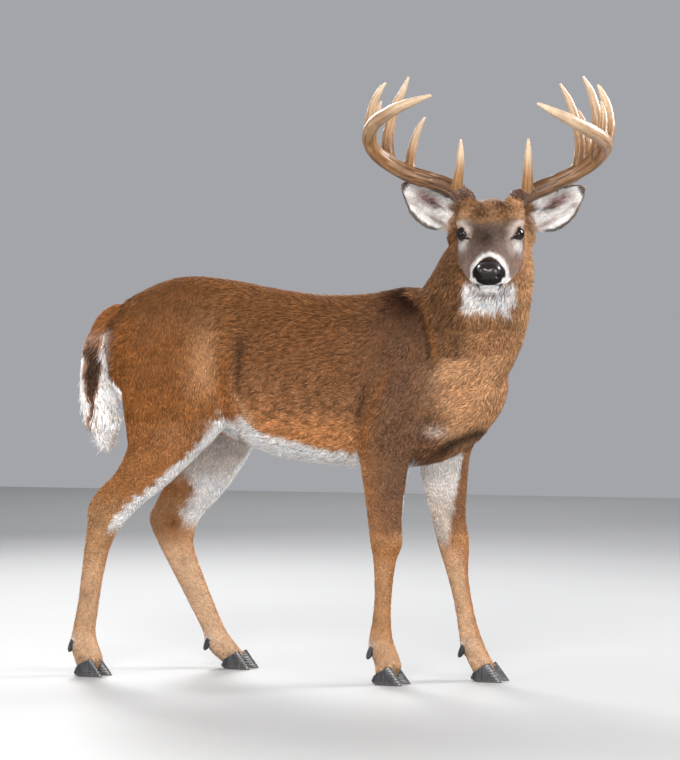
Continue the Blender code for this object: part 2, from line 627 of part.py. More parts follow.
# A point near the middle of each piece of flesh.
PIECES = {
    "trunk": (-0.05, -0.10, 0.75), "neck": (0.39, -0.135, 0.92), "head": tuple(on_head(0.0, 0, -0.02)),
    "foreleg_right_upper": (0.183, -0.186, 0.41), "foreleg_right_lower": (0.176, -0.175, 0.18),
    "foreleg_left_upper": (0.287, -0.012, 0.40), "foreleg_left_lower": (0.327, -0.017, 0.18),
    "hindleg_right_upper": (-0.43, -0.215, 0.49), "hindleg_right_lower": (-0.585, -0.241, 0.19),
    "hindleg_left_upper": (-0.37, -0.006, 0.47), "hindleg_left_lower": (-0.39, 0.006, 0.20),
}


def build():
    for old in list(bpy.data.objects):
        bpy.data.objects.remove(old)
    hard = {}
    for leg, (foot, dewclaws) in FEET.items():
        for label, inner in (("outer", -1), ("inner", 1)):
            if leg.endswith("left"):
                inner = -inner
            hard[f"hoof_{leg}_{label}"] = (claw_rings, (foot, inner), HORN)
            hard[f"dewclaw_{leg}_{label}"] = (dewclaw_rings, (dewclaws, inner), HORN)
    for label, side in (("left", 1), ("right", -1)):
        hard[f"eye_{label}"] = (eye_rings, (side,), WET)
    hard["nose"] = (nose_rings, (), WET)

    soft = flesh()
    around = grown(soft)
    for rings, arguments, _ in hard.values():
        soft = cut_away(soft, grown(tube_mesh("cutter", rings(*arguments))))
    for side, beam in ((1, LEFT_BEAM), (-1, RIGHT_BEAM)):
        soft = cut_away(soft, grown(tube_mesh("cutter", antler_tube(side, beam))))
    soft = cut_away(soft, join("plates", [plate(*p) for p in PLATES]))

    parts = loose_parts(soft)
    middles = {name: np.array(at) for name, at in PIECES.items()}
    for name, at in middles.items():
        holding = min(parts, key=lambda m: min(np.linalg.norm(np.array(v.co) - at) for v in m.vertices))
        parts.remove(holding)
        placed(name, holding, SHIN if name.endswith("lower") else COAT)

    for label, side in (("left", 1), ("right", -1)):
        placed(f"ear_{label}", cut_away(ear(side), around.copy()), COAT)
    placed("tail", cut_away(tail(), around.copy()), COAT)
    for name, (rings, arguments, finish) in hard.items():
        placed(name, tube_mesh(name, rings(*arguments)), finish)
    antler(1, "antler_left", LEFT_BEAM, LEFT_TINES)
    antler(-1, "antler_right", RIGHT_BEAM, RIGHT_TINES)

    for obj in bpy.data.objects:
        obj.data.transform(Matrix.Translation(MODEL_SHIFT))


if __name__ == "__main__":
    build()
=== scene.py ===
"""A white-tailed buck, life size and standing: its skin, coat, antlers, hooves, eyes and nose.

Everything is worked out in the buck's working axes (metres, +X the way the body heads, +Y its left,
+Z up, the floor at 0) and goes to the frame's axes by SHIFT when it becomes an object.
"""

import math

import bmesh
import bpy
import numpy as np
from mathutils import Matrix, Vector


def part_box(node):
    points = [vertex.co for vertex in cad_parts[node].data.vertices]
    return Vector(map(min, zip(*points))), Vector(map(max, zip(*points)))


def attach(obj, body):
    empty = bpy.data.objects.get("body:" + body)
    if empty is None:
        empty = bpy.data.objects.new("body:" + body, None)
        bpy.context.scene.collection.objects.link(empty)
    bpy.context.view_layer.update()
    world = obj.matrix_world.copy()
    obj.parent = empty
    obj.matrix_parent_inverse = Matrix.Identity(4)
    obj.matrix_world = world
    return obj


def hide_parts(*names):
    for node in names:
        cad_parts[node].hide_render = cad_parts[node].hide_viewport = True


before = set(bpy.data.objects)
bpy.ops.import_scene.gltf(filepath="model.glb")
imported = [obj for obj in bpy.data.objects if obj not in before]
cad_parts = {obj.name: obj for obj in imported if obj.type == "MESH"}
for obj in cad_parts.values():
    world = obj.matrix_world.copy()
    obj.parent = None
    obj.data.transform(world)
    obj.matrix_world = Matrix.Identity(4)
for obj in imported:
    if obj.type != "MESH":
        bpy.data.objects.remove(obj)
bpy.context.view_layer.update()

# ---- driving dimensions, in metres --------------------------------------------------------------

SHIFT = np.array((-0.0547, 0.1954, 0.0))   # from the working axes to the frame's
SEED = 11

SPINE_Y, SPINE_BEND = -0.095, 0.12         # the spine's place across, and its bow to the right
HEAD_TURN = math.radians(-74.8)            # heading of the face, from +X towards -Y
HEAD_DROP = math.radians(32)               # the face line below level
EYE_RADIUS = 0.0185
EYE_PLACE = np.array((0.003, 0.059, 0.006))   # along the face, to the side, up from the face line
EAR_LENGTH, EAR_THICKNESS = 0.174, 0.0075
CLAW_HEIGHT, CLAW_HALF_WIDTH, CLAW_TOE, CLAW_HEEL, CLAW_SPREAD = 0.046, 0.0155, 0.056, 0.03, 0.0178

SKIN_VOXEL = 0.0076                        # grain of the joined skin before the head is made finer
DEPTH = {"trunk": 0.005, "neck": 0.006, "skull": 0.0022, "thigh": 0.0045, "shin": 0.0022, "ear": 0.001}


# ---- arrays and meshes --------------------------------------------------------------------------

SIDES = (("left", 1), ("right", -1))


def millimetres(rows):
    """Rows given in millimetres, in metres."""
    return np.array(rows) / 1000


def tenths(rows):
    """Rows given in tenths of a millimetre, in metres."""
    return np.array(rows) / 10000


def unit(v):
    return v / np.maximum(np.linalg.norm(v, axis=-1, keepdims=True), 1e-12)


def step(x, low, high):
    """0 below low and 1 above high, with a smooth cubic rise between; high may be the lower one."""
    t = np.clip((x - low) / (high - low), 0, 1)
    return t * t * (3 - 2 * t)


def band(x, low, full, fading, high):
    """0 below low and above high and 1 from full to fading, with the same smooth rise and fall."""
    return step(x, low, full) * step(x, high, fading)


def ridge(distance, width):
    """1 where the distance is 0, falling off to both sides as a bell: exp of minus its scaled square."""
    return np.exp(-(distance / width)**2)


def hill(points, centre, radii):
    """1 at the centre and falling off round it as a bell: exp of minus the squared scaled distance."""
    return np.exp(-(((points - np.array(centre)) / np.array(radii)) ** 2).sum(-1))


def waves(points, size, seed):
    """Soft noise between about -1 and 1: the mean of sines along random directions, of that wavelength."""
    draw = np.random.default_rng(seed)
    directions = unit(draw.normal(size=(9, 3))) * 2 * math.pi / size * draw.uniform(0.6, 1.6, (9, 1))
    return np.sin(points @ directions.T + draw.uniform(0, 6.28, 9)).sum(1) / 3.2


def spread(stations, count):
    """The rows of stations as a smooth (Catmull-Rom) run of count rows."""
    rows = np.array(stations, float)
    at = np.linspace(0, len(rows) - 1, count)
    i = np.minimum(at.astype(int), len(rows) - 2)
    t = (at - i)[:, None]
    padded = np.vstack([2 * rows[0] - rows[1], rows, 2 * rows[-1] - rows[-2]])
    p0, p1, p2, p3 = (padded[i + k] for k in range(4))
    return 0.5 * (2 * p1 + (p2 - p0) * t + (2 * p0 - 5 * p1 + 4 * p2 - p3) * t**2
                  + (3 * p1 - p0 - 3 * p2 + p3) * t**3)


def frames(path, hint):
    """(side, up) unit vectors at each point of a path, with up kept close to hint."""
    along = unit(np.gradient(path, axis=0))
    up = unit(hint - (along @ hint)[:, None] * along)
    return np.cross(up, along), up


def carried_frames(path, hint):
    """Like frames, but up is carried from point to point, so that a winding tube doesn't twist."""
    along = unit(np.gradient(path, axis=0))
    ups = [hint]
    for direction in along:
        ups.append(unit(ups[-1] - direction * (direction @ ups[-1])))
    return np.cross(ups[1:], along), np.array(ups[1:])


def run_along(path):
    """The distance along a path at each of its points."""
    return np.concatenate([[0], np.cumsum(np.linalg.norm(np.diff(path, axis=0), axis=1))])


def nearest(points, path, radius, side, up):
    """For each point the station of the path that is nearest for its radius, the distance as a share of
    that radius, the way from the station to the point, and the turn round the path, 0 towards up."""
    away = points[:, None] - path
    score = np.linalg.norm(away, axis=2) / radius
    near = score.argmin(1)
    each = np.arange(len(points))
    away = away[each, near]
    return near, score[each, near], away, np.arctan2((away * side[near]).sum(1), (away * up[near]).sum(1))


def ovals(path, side, up, half_side, half_up, egg=0.0, points=28):
    """Rings round a path: at each station path + side a sin + up b cos, wider away from up by egg."""
    turn = np.linspace(0, 2 * math.pi, points, endpoint=False)
    c, s = np.cos(turn), np.sin(turn)
    across = s * (1 - egg * c)
    return (path[:, None] + side[:, None] * (half_side[:, None] * across)[..., None]
            + up[:, None] * (half_up[:, None] * c)[..., None])


def outwards(flat, quads, centre=(0.0, 0.0, 0.0)):
    """(points, quads) of a closed surface, its faces turned over if the volume they enclose is negative."""
    a, b, c, d = (flat[quads[:, i]] - np.array(centre) for i in range(4))
    volume = (np.cross(b - a, c - a) * a + np.cross(c - a, d - a) * a).sum()
    return flat, quads if volume > 0 else quads[:, ::-1]


def tube(rings):
    """(points, quads) of a closed surface through rings of one even size, its ends strips of quads."""
    count, points = rings.shape[:2]
    j = np.arange(points)
    k = (j + 1) % points
    start = np.arange(count - 1)[:, None] * points
    walls = np.stack([start + j, start + k, start + points + k, start + points + j], -1).reshape(-1, 4)
    strip = np.arange(points // 2 - 1)
    cap = np.stack([strip, points - 1 - strip, points - 2 - strip, strip + 1], 1)
    quads = np.vstack([walls, cap, cap[:, ::-1] + (count - 1) * points])
    return outwards(rings.reshape(-1, 3), quads)


def mesh_of(name, points, *groups):
    """A smooth mesh from an array of points and arrays of faces, each array of faces of one size."""
    loops = np.concatenate([g.ravel() for g in groups])
    sizes = np.concatenate([np.full(len(g), g.shape[1]) for g in groups])
    mesh = bpy.data.meshes.new(name)
    mesh.vertices.add(len(points))
    mesh.loops.add(len(loops))
    mesh.polygons.add(len(sizes))
    mesh.vertices.foreach_set("co", np.asarray(points, np.float32).ravel())
    mesh.loops.foreach_set("vertex_index", loops.astype(np.int32))
    mesh.polygons.foreach_set("loop_start", np.concatenate([[0], np.cumsum(sizes)[:-1]]).astype(np.int32))
    mesh.polygons.foreach_set("use_smooth", np.ones(len(sizes), bool))
    mesh.update(calc_edges=True)
    return mesh


def joined(*shapes):
    """Several (points, quads) as one."""
    starts = np.cumsum([0] + [len(points) for points, _ in shapes])
    return (np.vstack([points for points, _ in shapes]),
            np.vstack([quads + start for (_, quads), start in zip(shapes, starts)]))


def read(collection, key, width, kind=np.float32):
    """A property of every item of a mesh's collection, width numbers to a row."""
    flat = np.empty(len(collection) * width, kind)
    collection.foreach_get(key, flat)
    return flat.reshape(-1, width)


def points_of(mesh):
    return read(mesh.vertices, "co", 3).astype(float)


def normals_of(mesh):
    return read(mesh.vertex_normals, "vector", 3).astype(float)


def move_points(mesh, points):
    mesh.vertices.foreach_set("co", np.asarray(points, np.float32).ravel())
    mesh.update()


def in_scene(name, data):
    obj = bpy.data.objects.new(name, data)
    bpy.context.scene.collection.objects.link(obj)
    return obj


def modified(mesh, *modifiers):
    """The mesh after modifiers, each given as (type, {setting: value})."""
    obj = in_scene("raw", mesh)
    for kind, settings in modifiers:
        modifier = obj.modifiers.new(kind, kind)
        for key, value in settings.items():
            setattr(modifier, key, value)
    made = bpy.data.meshes.new_from_object(obj.evaluated_get(bpy.context.evaluated_depsgraph_get()))
    bpy.data.objects.remove(obj)
    return made


def attribute(mesh, name, values):
    """Puts one colour (n, 3) or one number (n,) on each point of the mesh."""
    values = np.asarray(values, np.float32)
    if values.ndim == 2:
        layer = mesh.attributes.new(name, "FLOAT_COLOR", "POINT")
        layer.data.foreach_set("color", np.hstack([values, np.ones((len(values), 1), np.float32)]).ravel())
    else:
        layer = mesh.attributes.new(name, "FLOAT", "POINT")
        layer.data.foreach_set("value", values)


def piece(name, mesh, material, nodes=()):
    """The mesh as a finished piece of the buck, at its place in the frame, standing for those nodes."""
    move_points(mesh, points_of(mesh) + SHIFT)
    mesh.materials.clear()
    mesh.materials.append(material)
    obj = in_scene(name, mesh)
    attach(obj, "root")
    if nodes:
        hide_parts(*nodes)


# ---- the lofts of the body ----------------------------------------------------------------------

FACING = np.array((math.cos(HEAD_TURN), math.sin(HEAD_TURN), 0.0))
HEAD_SIDE = np.cross((0.0, 0.0, 1.0), FACING)
FACE_LINE = FACING * math.cos(HEAD_DROP) - np.array((0, 0, math.sin(HEAD_DROP)))
BROW_UP = FACING * math.sin(HEAD_DROP) + np.array((0, 0, math.cos(HEAD_DROP)))
HEAD_AXES = np.stack([FACE_LINE, HEAD_SIDE, BROW_UP], 1)
EYES_MIDDLE = np.array((0.4675, -0.2555, 1.0704))


def on_head(*place):
    """A point given along the face line, to the head's left and up from the eyes' middle."""
    return EYES_MIDDLE + HEAD_AXES @ np.array(place, float)


def head_places(points):
    """Points as (along the face line, to the head's left, up) from the eyes' middle."""
    return (points - EYES_MIDDLE) @ HEAD_AXES


def spine_y(x):
    return SPINE_Y - SPINE_BEND * x**2


EGG = 0.12                                 # how much wider the trunk and skull are below than above

# in millimetres (x, top, bottom, half width), from the rump to the breast
TRUNK = millimetres([
    (-562, 885, 790, 30), (-545, 914, 700, 78), (-480, 960, 640, 122), (-380, 994, 615, 147),
    (-260, 987, 590, 152), (-130, 962, 545, 158), (0, 945, 524, 162), (120, 948, 518, 155),
    (220, 962, 520, 140), (310, 945, 540, 126), (385, 890, 585, 108), (435, 830, 650, 80),
    (455, 780, 710, 35)])

# in millimetres (x, y, z, half depth, half width), from the shoulder to the nape
NECK = millimetres([
    (250, -100, 735, 190, 120), (320, -112, 800, 165, 124), (376, -124, 875, 150, 120),
    (411, -140, 950, 131, 112), (437, -158, 1020, 113, 100), (449, -178, 1075, 86, 80),
    (446, -190, 1105, 50, 55)])

# in millimetres (along, half width, top, bottom), from the nape to the nose
SKULL = millimetres([
    (-150, 30, 10, -35), (-130, 55, 30, -60), (-90, 74, 42, -90), (-45, 79, 47, -100), (0, 76, 42, -100),
    (35, 67, 36, -87), (70, 58, 31, -71), (110, 49, 29, -59), (145, 44, 30, -51), (172, 41, 29, -44),
    (194, 27, 18, -30)])

# level rings in millimetres from the body to the foot: (height, back, front, middle across, half width)
LEGS = {
    "foreleg_right": millimetres([
        (830, 180, 345, -170, 50), (740, 130, 350, -188, 58), (650, 112, 318, -195, 60),
        (590, 110, 276, -192, 57), (534, 119, 246, -186, 52), (493, 125, 238, -183, 48),
        (444, 132, 227, -180, 42), (384, 139, 222, -177, 38), (336, 143, 222, -175, 37),
        (294, 149, 206, -172, 32), (207, 150, 194, -170, 25), (142, 142, 193, -168, 25),
        (105, 135, 197, -168, 30), (77, 139, 208, -168, 32), (48, 150, 217, -168, 31),
        (17, 152, 206, -168, 25)]),
    "foreleg_left": millimetres([
        (830, 230, 390, -30, 50), (740, 195, 410, -16, 58), (650, 190, 388, -10, 58),
        (590, 198, 360, -10, 55), (548, 206, 344, -12, 52), (512, 214, 340, -14, 50),
        (460, 228, 336, -16, 46), (402, 246, 333, -17, 40), (328, 264, 343, -19, 37),
        (263, 285, 342, -21, 29), (198, 303, 351, -23, 25), (134, 315, 367, -25, 25),
        (90, 322, 383, -25, 31), (62, 334, 396, -25, 32), (40, 346, 408, -25, 31), (16, 358, 406, -25, 25)]),
    "hindleg_right": millimetres([
        (880, -470, -270, -180, 60), (800, -510, -225, -190, 74), (730, -508, -195, -198, 82),
        (665, -500, -198, -202, 82), (609, -490, -236, -205, 77), (560, -486, -284, -210, 66),
        (497, -518, -350, -216, 52), (460, -557, -393, -221, 43), (419, -584, -446, -227, 37),
        (377, -583, -486, -232, 34), (327, -588, -517, -238, 31), (253, -596, -536, -243, 27),
        (171, -605, -547, -249, 25), (109, -616, -553, -254, 28), (74, -619, -544, -257, 32),
        (49, -610, -534, -258, 32), (17, -598, -542, -258, 26)]),
    "hindleg_left": millimetres([
        (880, -450, -260, -40, 60), (800, -485, -215, -30, 74), (730, -490, -175, -22, 82),
        (665, -495, -170, -18, 80), (620, -500, -188, -16, 76), (580, -502, -214, -14, 70),
        (528, -490, -250, -11, 60), (472, -474, -292, -8, 50), (425, -496, -334, -6, 42),
        (394, -515, -368, -3, 37), (366, -519, -387, 0, 35), (314, -498, -400, 3, 31),
        (238, -457, -375, 6, 27), (155, -411, -340, 8, 25), (96, -379, -314, 10, 28),
        (60, -366, -285, 10, 32), (38, -349, -268, 10, 31), (15, -318, -266, 10, 25)]),
}

# A foot: the hoof's middle (x, y), its heading, and the dewclaws' place (x, y, heading, height).
FEET = {
    "foreleg_right": ((0.179, -0.168, -0.12), (0.155, -0.168, -0.12, 0.09)),
    "foreleg_left": ((0.385, -0.025, -0.1), (0.341, -0.024, -0.1, 0.086)),
    "hindleg_right": ((-0.571, -0.258, -0.12), (-0.599, -0.256, -0.12, 0.088)),
    "hindleg_left": ((-0.287, 0.01, -0.12), (-0.347, 0.009, -0.12, 0.074)),
}

# in millimetres (x, y, z, half depth, half width): the tail out to the tips of its brush
TAIL = millimetres([
    (-515, -120, 905, 20, 24), (-548, -130, 897, 27, 32), (-576, -140, 871, 30, 38),
    (-597, -155, 815, 30, 42), (-600, -165, 765, 32, 45), (-591, -175, 710, 41, 48),
    (-581, -180, 680, 46, 48), (-566, -184, 634, 41, 42), (-560, -188, 590, 24, 27),
    (-558, -189, 552, 6, 8)])

EAR_AXIS = {1: (0.888, 0.445, -0.11), -1: (0.848, 0.518, -0.11)}      # to the side, up, forward
EAR_OUTLINE = [     # (share of the length, lower half width, upper half width)
    (0.0, 0.024, 0.024), (0.14, 0.041, 0.032), (0.29, 0.054, 0.035), (0.43, 0.061, 0.034),
    (0.58, 0.059, 0.031), (0.72, 0.05, 0.028), (0.85, 0.031, 0.023), (0.95, 0.016, 0.014),
    (1.0, 0.004, 0.004)]


def shrunk(half, depth):
    """A half width less the coat's depth, and never under 3 mm."""
    return np.maximum(half - depth, 0.003)


def limb(stations, hint, count, depth=0.0):
    """A tube of ovals square to a path: stations are (x, y, z, half depth, half width)."""
    rows = spread(stations, count)
    side, up = frames(rows[:, :3], np.array(hint, float))
    return tube(ovals(rows[:, :3], side, up, shrunk(rows[:, 4], depth), shrunk(rows[:, 3], depth)))


def trunk():
    """Upright egg-shaped rings along the bowed spine."""
    x, top, bottom, half = spread(TRUNK, 60).T
    path = np.stack([x, spine_y(x), (top + bottom) / 2], 1)
    side = unit(np.stack([2 * SPINE_BEND * x, np.ones_like(x), 0 * x], 1))
    up = np.tile([0.0, 0.0, 1.0], (len(x), 1))
    half, tall = shrunk(half, DEPTH["trunk"]), shrunk((top - bottom) / 2, DEPTH["trunk"])
    return tube(ovals(path, side, up, half, tall, EGG, 40))


def leg(name):
    """Level ovals down the leg; the coat is thinner below the knee or hock."""
    z, back, front, y, half = spread(LEGS[name], 70).T
    depth = DEPTH["shin"] + (DEPTH["thigh"] - DEPTH["shin"]) * step(z, 0.35, 0.6)
    path = np.stack([(back + front) / 2, y, z], 1)
    side, up = np.tile([0.0, 1.0, 0.0], (len(z), 1)), np.tile([1.0, 0.0, 0.0], (len(z), 1))
    return tube(ovals(path, side, up, shrunk(half, depth), shrunk((front - back) / 2, depth)))


def skull():
    """Egg-shaped rings along the face line."""
    along, half, top, bottom = spread(SKULL, 60).T
    path = EYES_MIDDLE + np.outer(along, FACE_LINE) + np.outer((top + bottom) / 2, BROW_UP)
    side, up = (np.tile(axis, (len(along), 1)) for axis in (HEAD_SIDE, BROW_UP))
    half, tall = shrunk(half, DEPTH["skull"]), shrunk((top - bottom) / 2, DEPTH["skull"])
    return tube(ovals(path, side, up, half, tall, EGG))


def head_limb(side, stations, hint, count):
    """A round tube on the head, its stations (along, aside, up, radius), mirrored by side."""
    rows = [(*on_head(a, side * b, c), r, r) for a, b, c, r in stations]
    return limb(rows, hint, count, DEPTH["skull"])


# each lump of the head: its way up, its rings, and its stations as (along, aside, up, radius)
HEAD_LUMPS = {
    "brow": (HEAD_SIDE, 12, tenths([
        (-550, 580, 220, 200), (-160, 660, 270, 170), (220, 520, 240, 120)])),
    "orbit": (BROW_UP, 14, tenths([
        (-103, 467, -23, 214), (-23, 541, 27, 245), (44, 603, 69, 224), (97, 652, 102, 166),
        (127, 680, 121, 97)])),
    "jaw": (BROW_UP, 14, tenths([
        (-500, 490, -500, 320), (0, 490, -620, 320), (400, 430, -580, 270), (800, 370, -530, 220),
        (1200, 300, -460, 175)])),
    "chin": (BROW_UP, 12, tenths([
        (1000, 120, -460, 190), (1400, 100, -460, 190), (1660, 85, -430, 180), (1800, 75, -380, 140)])),
    "pedicle": (FACE_LINE, 6, tenths([
        (-620, 420, 50, 270), (-900, 600, 500, 210)])),
    "ear_root": (FACE_LINE, 12, tenths([
        (-950, 460, -50, 340), (-980, 660, -220, 340), (-940, 780, -450, 310), (-820, 680, -680, 260)])),
}


def ear_frame(side):
    """An ear's root and its unit vectors: along it, the way it opens, and across it, downwards."""
    aside, up, forward = EAR_AXIS[side]
    axis = unit(HEAD_SIDE * side * aside + np.array([0, 0, up]) + FACING * forward)
    opening = unit(FACING + HEAD_SIDE * side * 0.25)
    opening = unit(opening - axis * (axis @ opening))
    across = np.cross(axis, opening)
    return on_head(-0.105, side * 0.066, -0.018), axis, opening, across * -np.sign(across[2])


def ear(side):
    """A cupped leaf: at each station a parabola across, deepest near the root, with three soft inner
    folds along it, and a wall that thins to the rim."""
    root, axis, opening, across = ear_frame(side)
    t, lower, upper = spread(EAR_OUTLINE, 64).T
    lower, upper = shrunk(lower, DEPTH["ear"]), shrunk(upper, DEPTH["ear"])
    half, middle = (lower + upper) / 2, (lower - upper) / 2
    centre = root + np.outer(EAR_LENGTH * t, axis) + np.outer(middle, across)
    centre -= np.outer(0.012 * np.sin(t * math.pi), opening)
    v = np.sin(np.linspace(-1, 1, 27) * math.pi / 2)
    cup = (0.75 * half * (1 - 0.5 * t))[:, None] * (1 - v**2)
    folds = 0.0016 * np.sin(t * math.pi)[:, None] * np.cos(v * 3.5 * math.pi) * (1 - v**2)
    flat = centre[:, None] + across * (half[:, None] * v)[..., None]
    arc = flat - opening * (cup - folds)[..., None]
    wall = (EAR_THICKNESS - 2 * DEPTH["ear"]) * (1 - 0.55 * v**4)
    back = flat - opening * (cup + wall)[..., None]
    return tube(np.concatenate([arc, back[:, ::-1]], 1))


def tail_core():
    """The tail's flesh and underfur, at the middle of its brush."""
    rows = np.array(TAIL)
    rows[:, 3:] *= np.linspace(0.92, 0.66, len(rows))[:, None]
    return limb(rows[:-1], (1, 0.35, 0), 40)


# ---- the skin -----------------------------------------------------------------------------------

def relaxed(mesh, weight, rounds):
    """Moves each point, by its weight, towards the mean of its neighbours; that many times."""
    a, b = read(mesh.edges, "vertices", 2, np.int32).T
    count = len(mesh.vertices)
    near = np.maximum(np.bincount(a, minlength=count) + np.bincount(b, minlength=count), 1)
    points = points_of(mesh)
    for _ in range(rounds):
        mean = np.stack([np.bincount(a, points[b, k], count) + np.bincount(b, points[a, k], count)
                         for k in range(3)], 1) / near[:, None]
        points += (mean - points) * weight[:, None]
    move_points(mesh, points)


def head_share(points):
    """1 on the head and the top of the throat, 0 on the rest."""
    a, b, c = head_places(points).T
    return step(a, -0.17, -0.15) * step(np.abs(b), 0.125, 0.105) * band(c, -0.15, -0.13, 0.11, 0.13)


def face_share(points):
    """1 on the front of the face, 0 on the rest."""
    a, b, c = head_places(points).T
    return step(a, -0.05, -0.035) * step(np.abs(b), 0.1, 0.09) * step(c, -0.09, -0.08)


def refined(mesh, share):
    """The mesh with each edge halved where share says 1."""
    inside = share(points_of(mesh)) > 0.5
    edit = bmesh.new()
    edit.from_mesh(mesh)
    edit.verts.ensure_lookup_table()
    edges = [e for e in edit.edges if inside[e.verts[0].index] and inside[e.verts[1].index]]
    bmesh.ops.subdivide_edges(edit, edges=edges, cuts=1, use_grid_fill=True)
    edit.to_mesh(mesh)
    edit.free()
    relaxed(mesh, 0.5 * share(points_of(mesh)), 3)
    return mesh


def eye_centre(side):
    return on_head(EYE_PLACE[0], side * EYE_PLACE[1], EYE_PLACE[2])


def eye_axes(side):
    """An eye's unit vectors: the way it looks, towards the face's front corner, and up."""
    look = unit(HEAD_AXES @ np.array((0.668, side * 0.616, 0.418)))
    front = unit(HEAD_AXES @ np.array((0.223, side * -0.9, -0.356)))
    front = unit(front - look * (front @ look))
    up = np.cross(look, front)
    return look, front, up * np.sign(up @ BROW_UP)


# the opening's half angles towards the front corner, the back corner, up and down, in radians
LID_FRONT, LID_BACK, LID_UP, LID_DOWN = 0.92, 0.84, 0.58, 0.52
LID_POWER = 1.7                            # 2 would make the opening an oval; less makes it an almond


def opening_ratio(points, side):
    """How far a point lies out from the eye's middle, as a share of the way to the edge of the lids."""
    look, front, up = eye_axes(side)
    d = unit(points - eye_centre(side))
    along, high = np.arctan2(d @ front, d @ look), np.arctan2(d @ up, d @ look)
    wide = np.where(along > 0, LID_FRONT, LID_BACK)
    tall = np.where(high > 0, LID_UP, LID_DOWN)
    return (np.abs(along / wide)**LID_POWER + np.abs(high / tall)**LID_POWER)**(1 / LID_POWER)


def face_relief(points):
    """How far the skin of the head stands proud (+) or sinks (-), as a sum of hills."""
    places = head_places(points)
    places[:, 1] = np.abs(places[:, 1])
    a, _, c = places.T
    lip = -0.0215 - 0.24 * (0.19 - a)
    mouth = ridge(c - lip, 0.0022) * step(a, 0.1, 0.118)
    hills = [
        (0.003, (0.02, 0.064, -0.026), (0.03, 0.014, 0.009)),       # cheekbone
        (-0.0035, (0.06, 0.054, -0.034), (0.03, 0.016, 0.012)),     # hollow under it
        (0.004, (-0.04, 0.066, -0.055), (0.04, 0.02, 0.03)),        # jaw muscle
        (-0.003, (0.03, 0.046, 0.01), (0.013, 0.012, 0.01)),        # hollow before the eye
        (-0.0026, (0.036, 0.05, -0.004), (0.009, 0.01, 0.0032)),    # tear pit
        (0.0022, (0.075, 0.02, 0.036), (0.05, 0.006, 0.012)),       # edge of the nose bridge
        (-0.0018, (0.01, 0.0, 0.045), (0.035, 0.018, 0.012)),       # hollow between the brows
        (0.003, (0.168, 0.04, 0.004), (0.013, 0.012, 0.014)),       # wing of the nostril
        (-0.0022, (0.145, 0.046, 0.008), (0.012, 0.01, 0.012)),     # behind it
        (0.003, (0.155, 0.034, -0.02), (0.02, 0.014, 0.007)),       # upper lip
        (0.003, (-0.075, 0.0, 0.05), (0.024, 0.03, 0.014)),         # crown between the antlers
    ]
    return sum(high * hill(places, centre, radii) for high, centre, radii in hills) - 0.0026 * mouth


def flank_line(x, z):
    """How far ahead of the fold before the thigh a place is."""
    return x + 0.176 + 0.1 * (0.72 - z)


def shoulder_line(x, z):
    """How far ahead of the crease between shoulder and neck."""
    return x - 0.3 - 0.25 * (0.84 - z)


def elbow_line(x, z):
    """How far ahead of the fold behind the elbow."""
    return x - 0.12 - 0.3 * (z - 0.6)


def body_relief(points):
    """How far the skin of the body stands proud (+) or sinks (-): folds, muscles and sinews."""
    mirrored = points.copy()
    mirrored[:, 1] = -np.abs(points[:, 1] - spine_y(points[:, 0]))
    x, _, z = mirrored.T
    fold = ridge(flank_line(x, z), 0.014) * band(z, 0.6, 0.68, 0.74, 0.86)
    crease = ridge(shoulder_line(x, z), 0.012) * band(z, 0.74, 0.8, 0.88, 0.94)
    elbow = ridge(elbow_line(x, z), 0.013) * band(z, 0.54, 0.58, 0.66, 0.76)
    ribs = np.sin(x * 2 * math.pi / 0.045) * band(x, -0.16, -0.1, 0.06, 0.12) * step(z, 0.6, 0.66)
    hills = [
        (0.006, (-0.25, -0.13, 0.9), (0.04, 0.04, 0.03)),           # point of the hip
        (-0.005, (-0.19, -0.15, 0.85), (0.04, 0.04, 0.05)),         # hollow of the flank
        (0.006, (0.215, -0.12, 0.86), (0.028, 0.06, 0.09)),         # edge of the shoulder blade
        (-0.004, (0.15, -0.15, 0.84), (0.035, 0.05, 0.08)),         # behind it
        (0.006, (0.33, -0.1, 0.72), (0.04, 0.05, 0.06)),            # point of the shoulder
        (-0.005, (0.275, -0.1, 0.64), (0.03, 0.05, 0.04)),          # hollow below it
        (0.005, (-0.3, -0.12, 0.66), (0.05, 0.06, 0.06)),           # thigh muscle
        (-0.004, (-0.4, -0.12, 0.64), (0.025, 0.06, 0.09)),         # its back edge
    ]
    relief = sum(high * hill(mirrored, centre, radii) for high, centre, radii in hills)
    return relief - 0.007 * fold - 0.0045 * crease - 0.005 * elbow + 0.0006 * ribs * step(z, 0.88, 0.8)


def socketed(points):
    """Points near each eye drawn back behind the ball inside the lids' edge, and out over it beyond."""
    for side in (1, -1):
        centre = eye_centre(side)
        away = points - centre
        far = np.linalg.norm(away, axis=1)
        ratio = opening_ratio(points, side)
        near = (far < 2.2 * EYE_RADIUS) & (away @ eye_axes(side)[0] > 0)
        hole = near * step(ratio, 1.14, 1.04)
        rim = near * band(ratio, 1.0, 1.12, 1.3, 1.9)
        lid = np.maximum(far, EYE_RADIUS + 0.0014)
        wanted = far + (EYE_RADIUS - 0.004 - far) * hole
        wanted = wanted + (lid - wanted) * rim * (1 - hole)
        points = centre + away / far[:, None] * wanted[:, None]
    return points


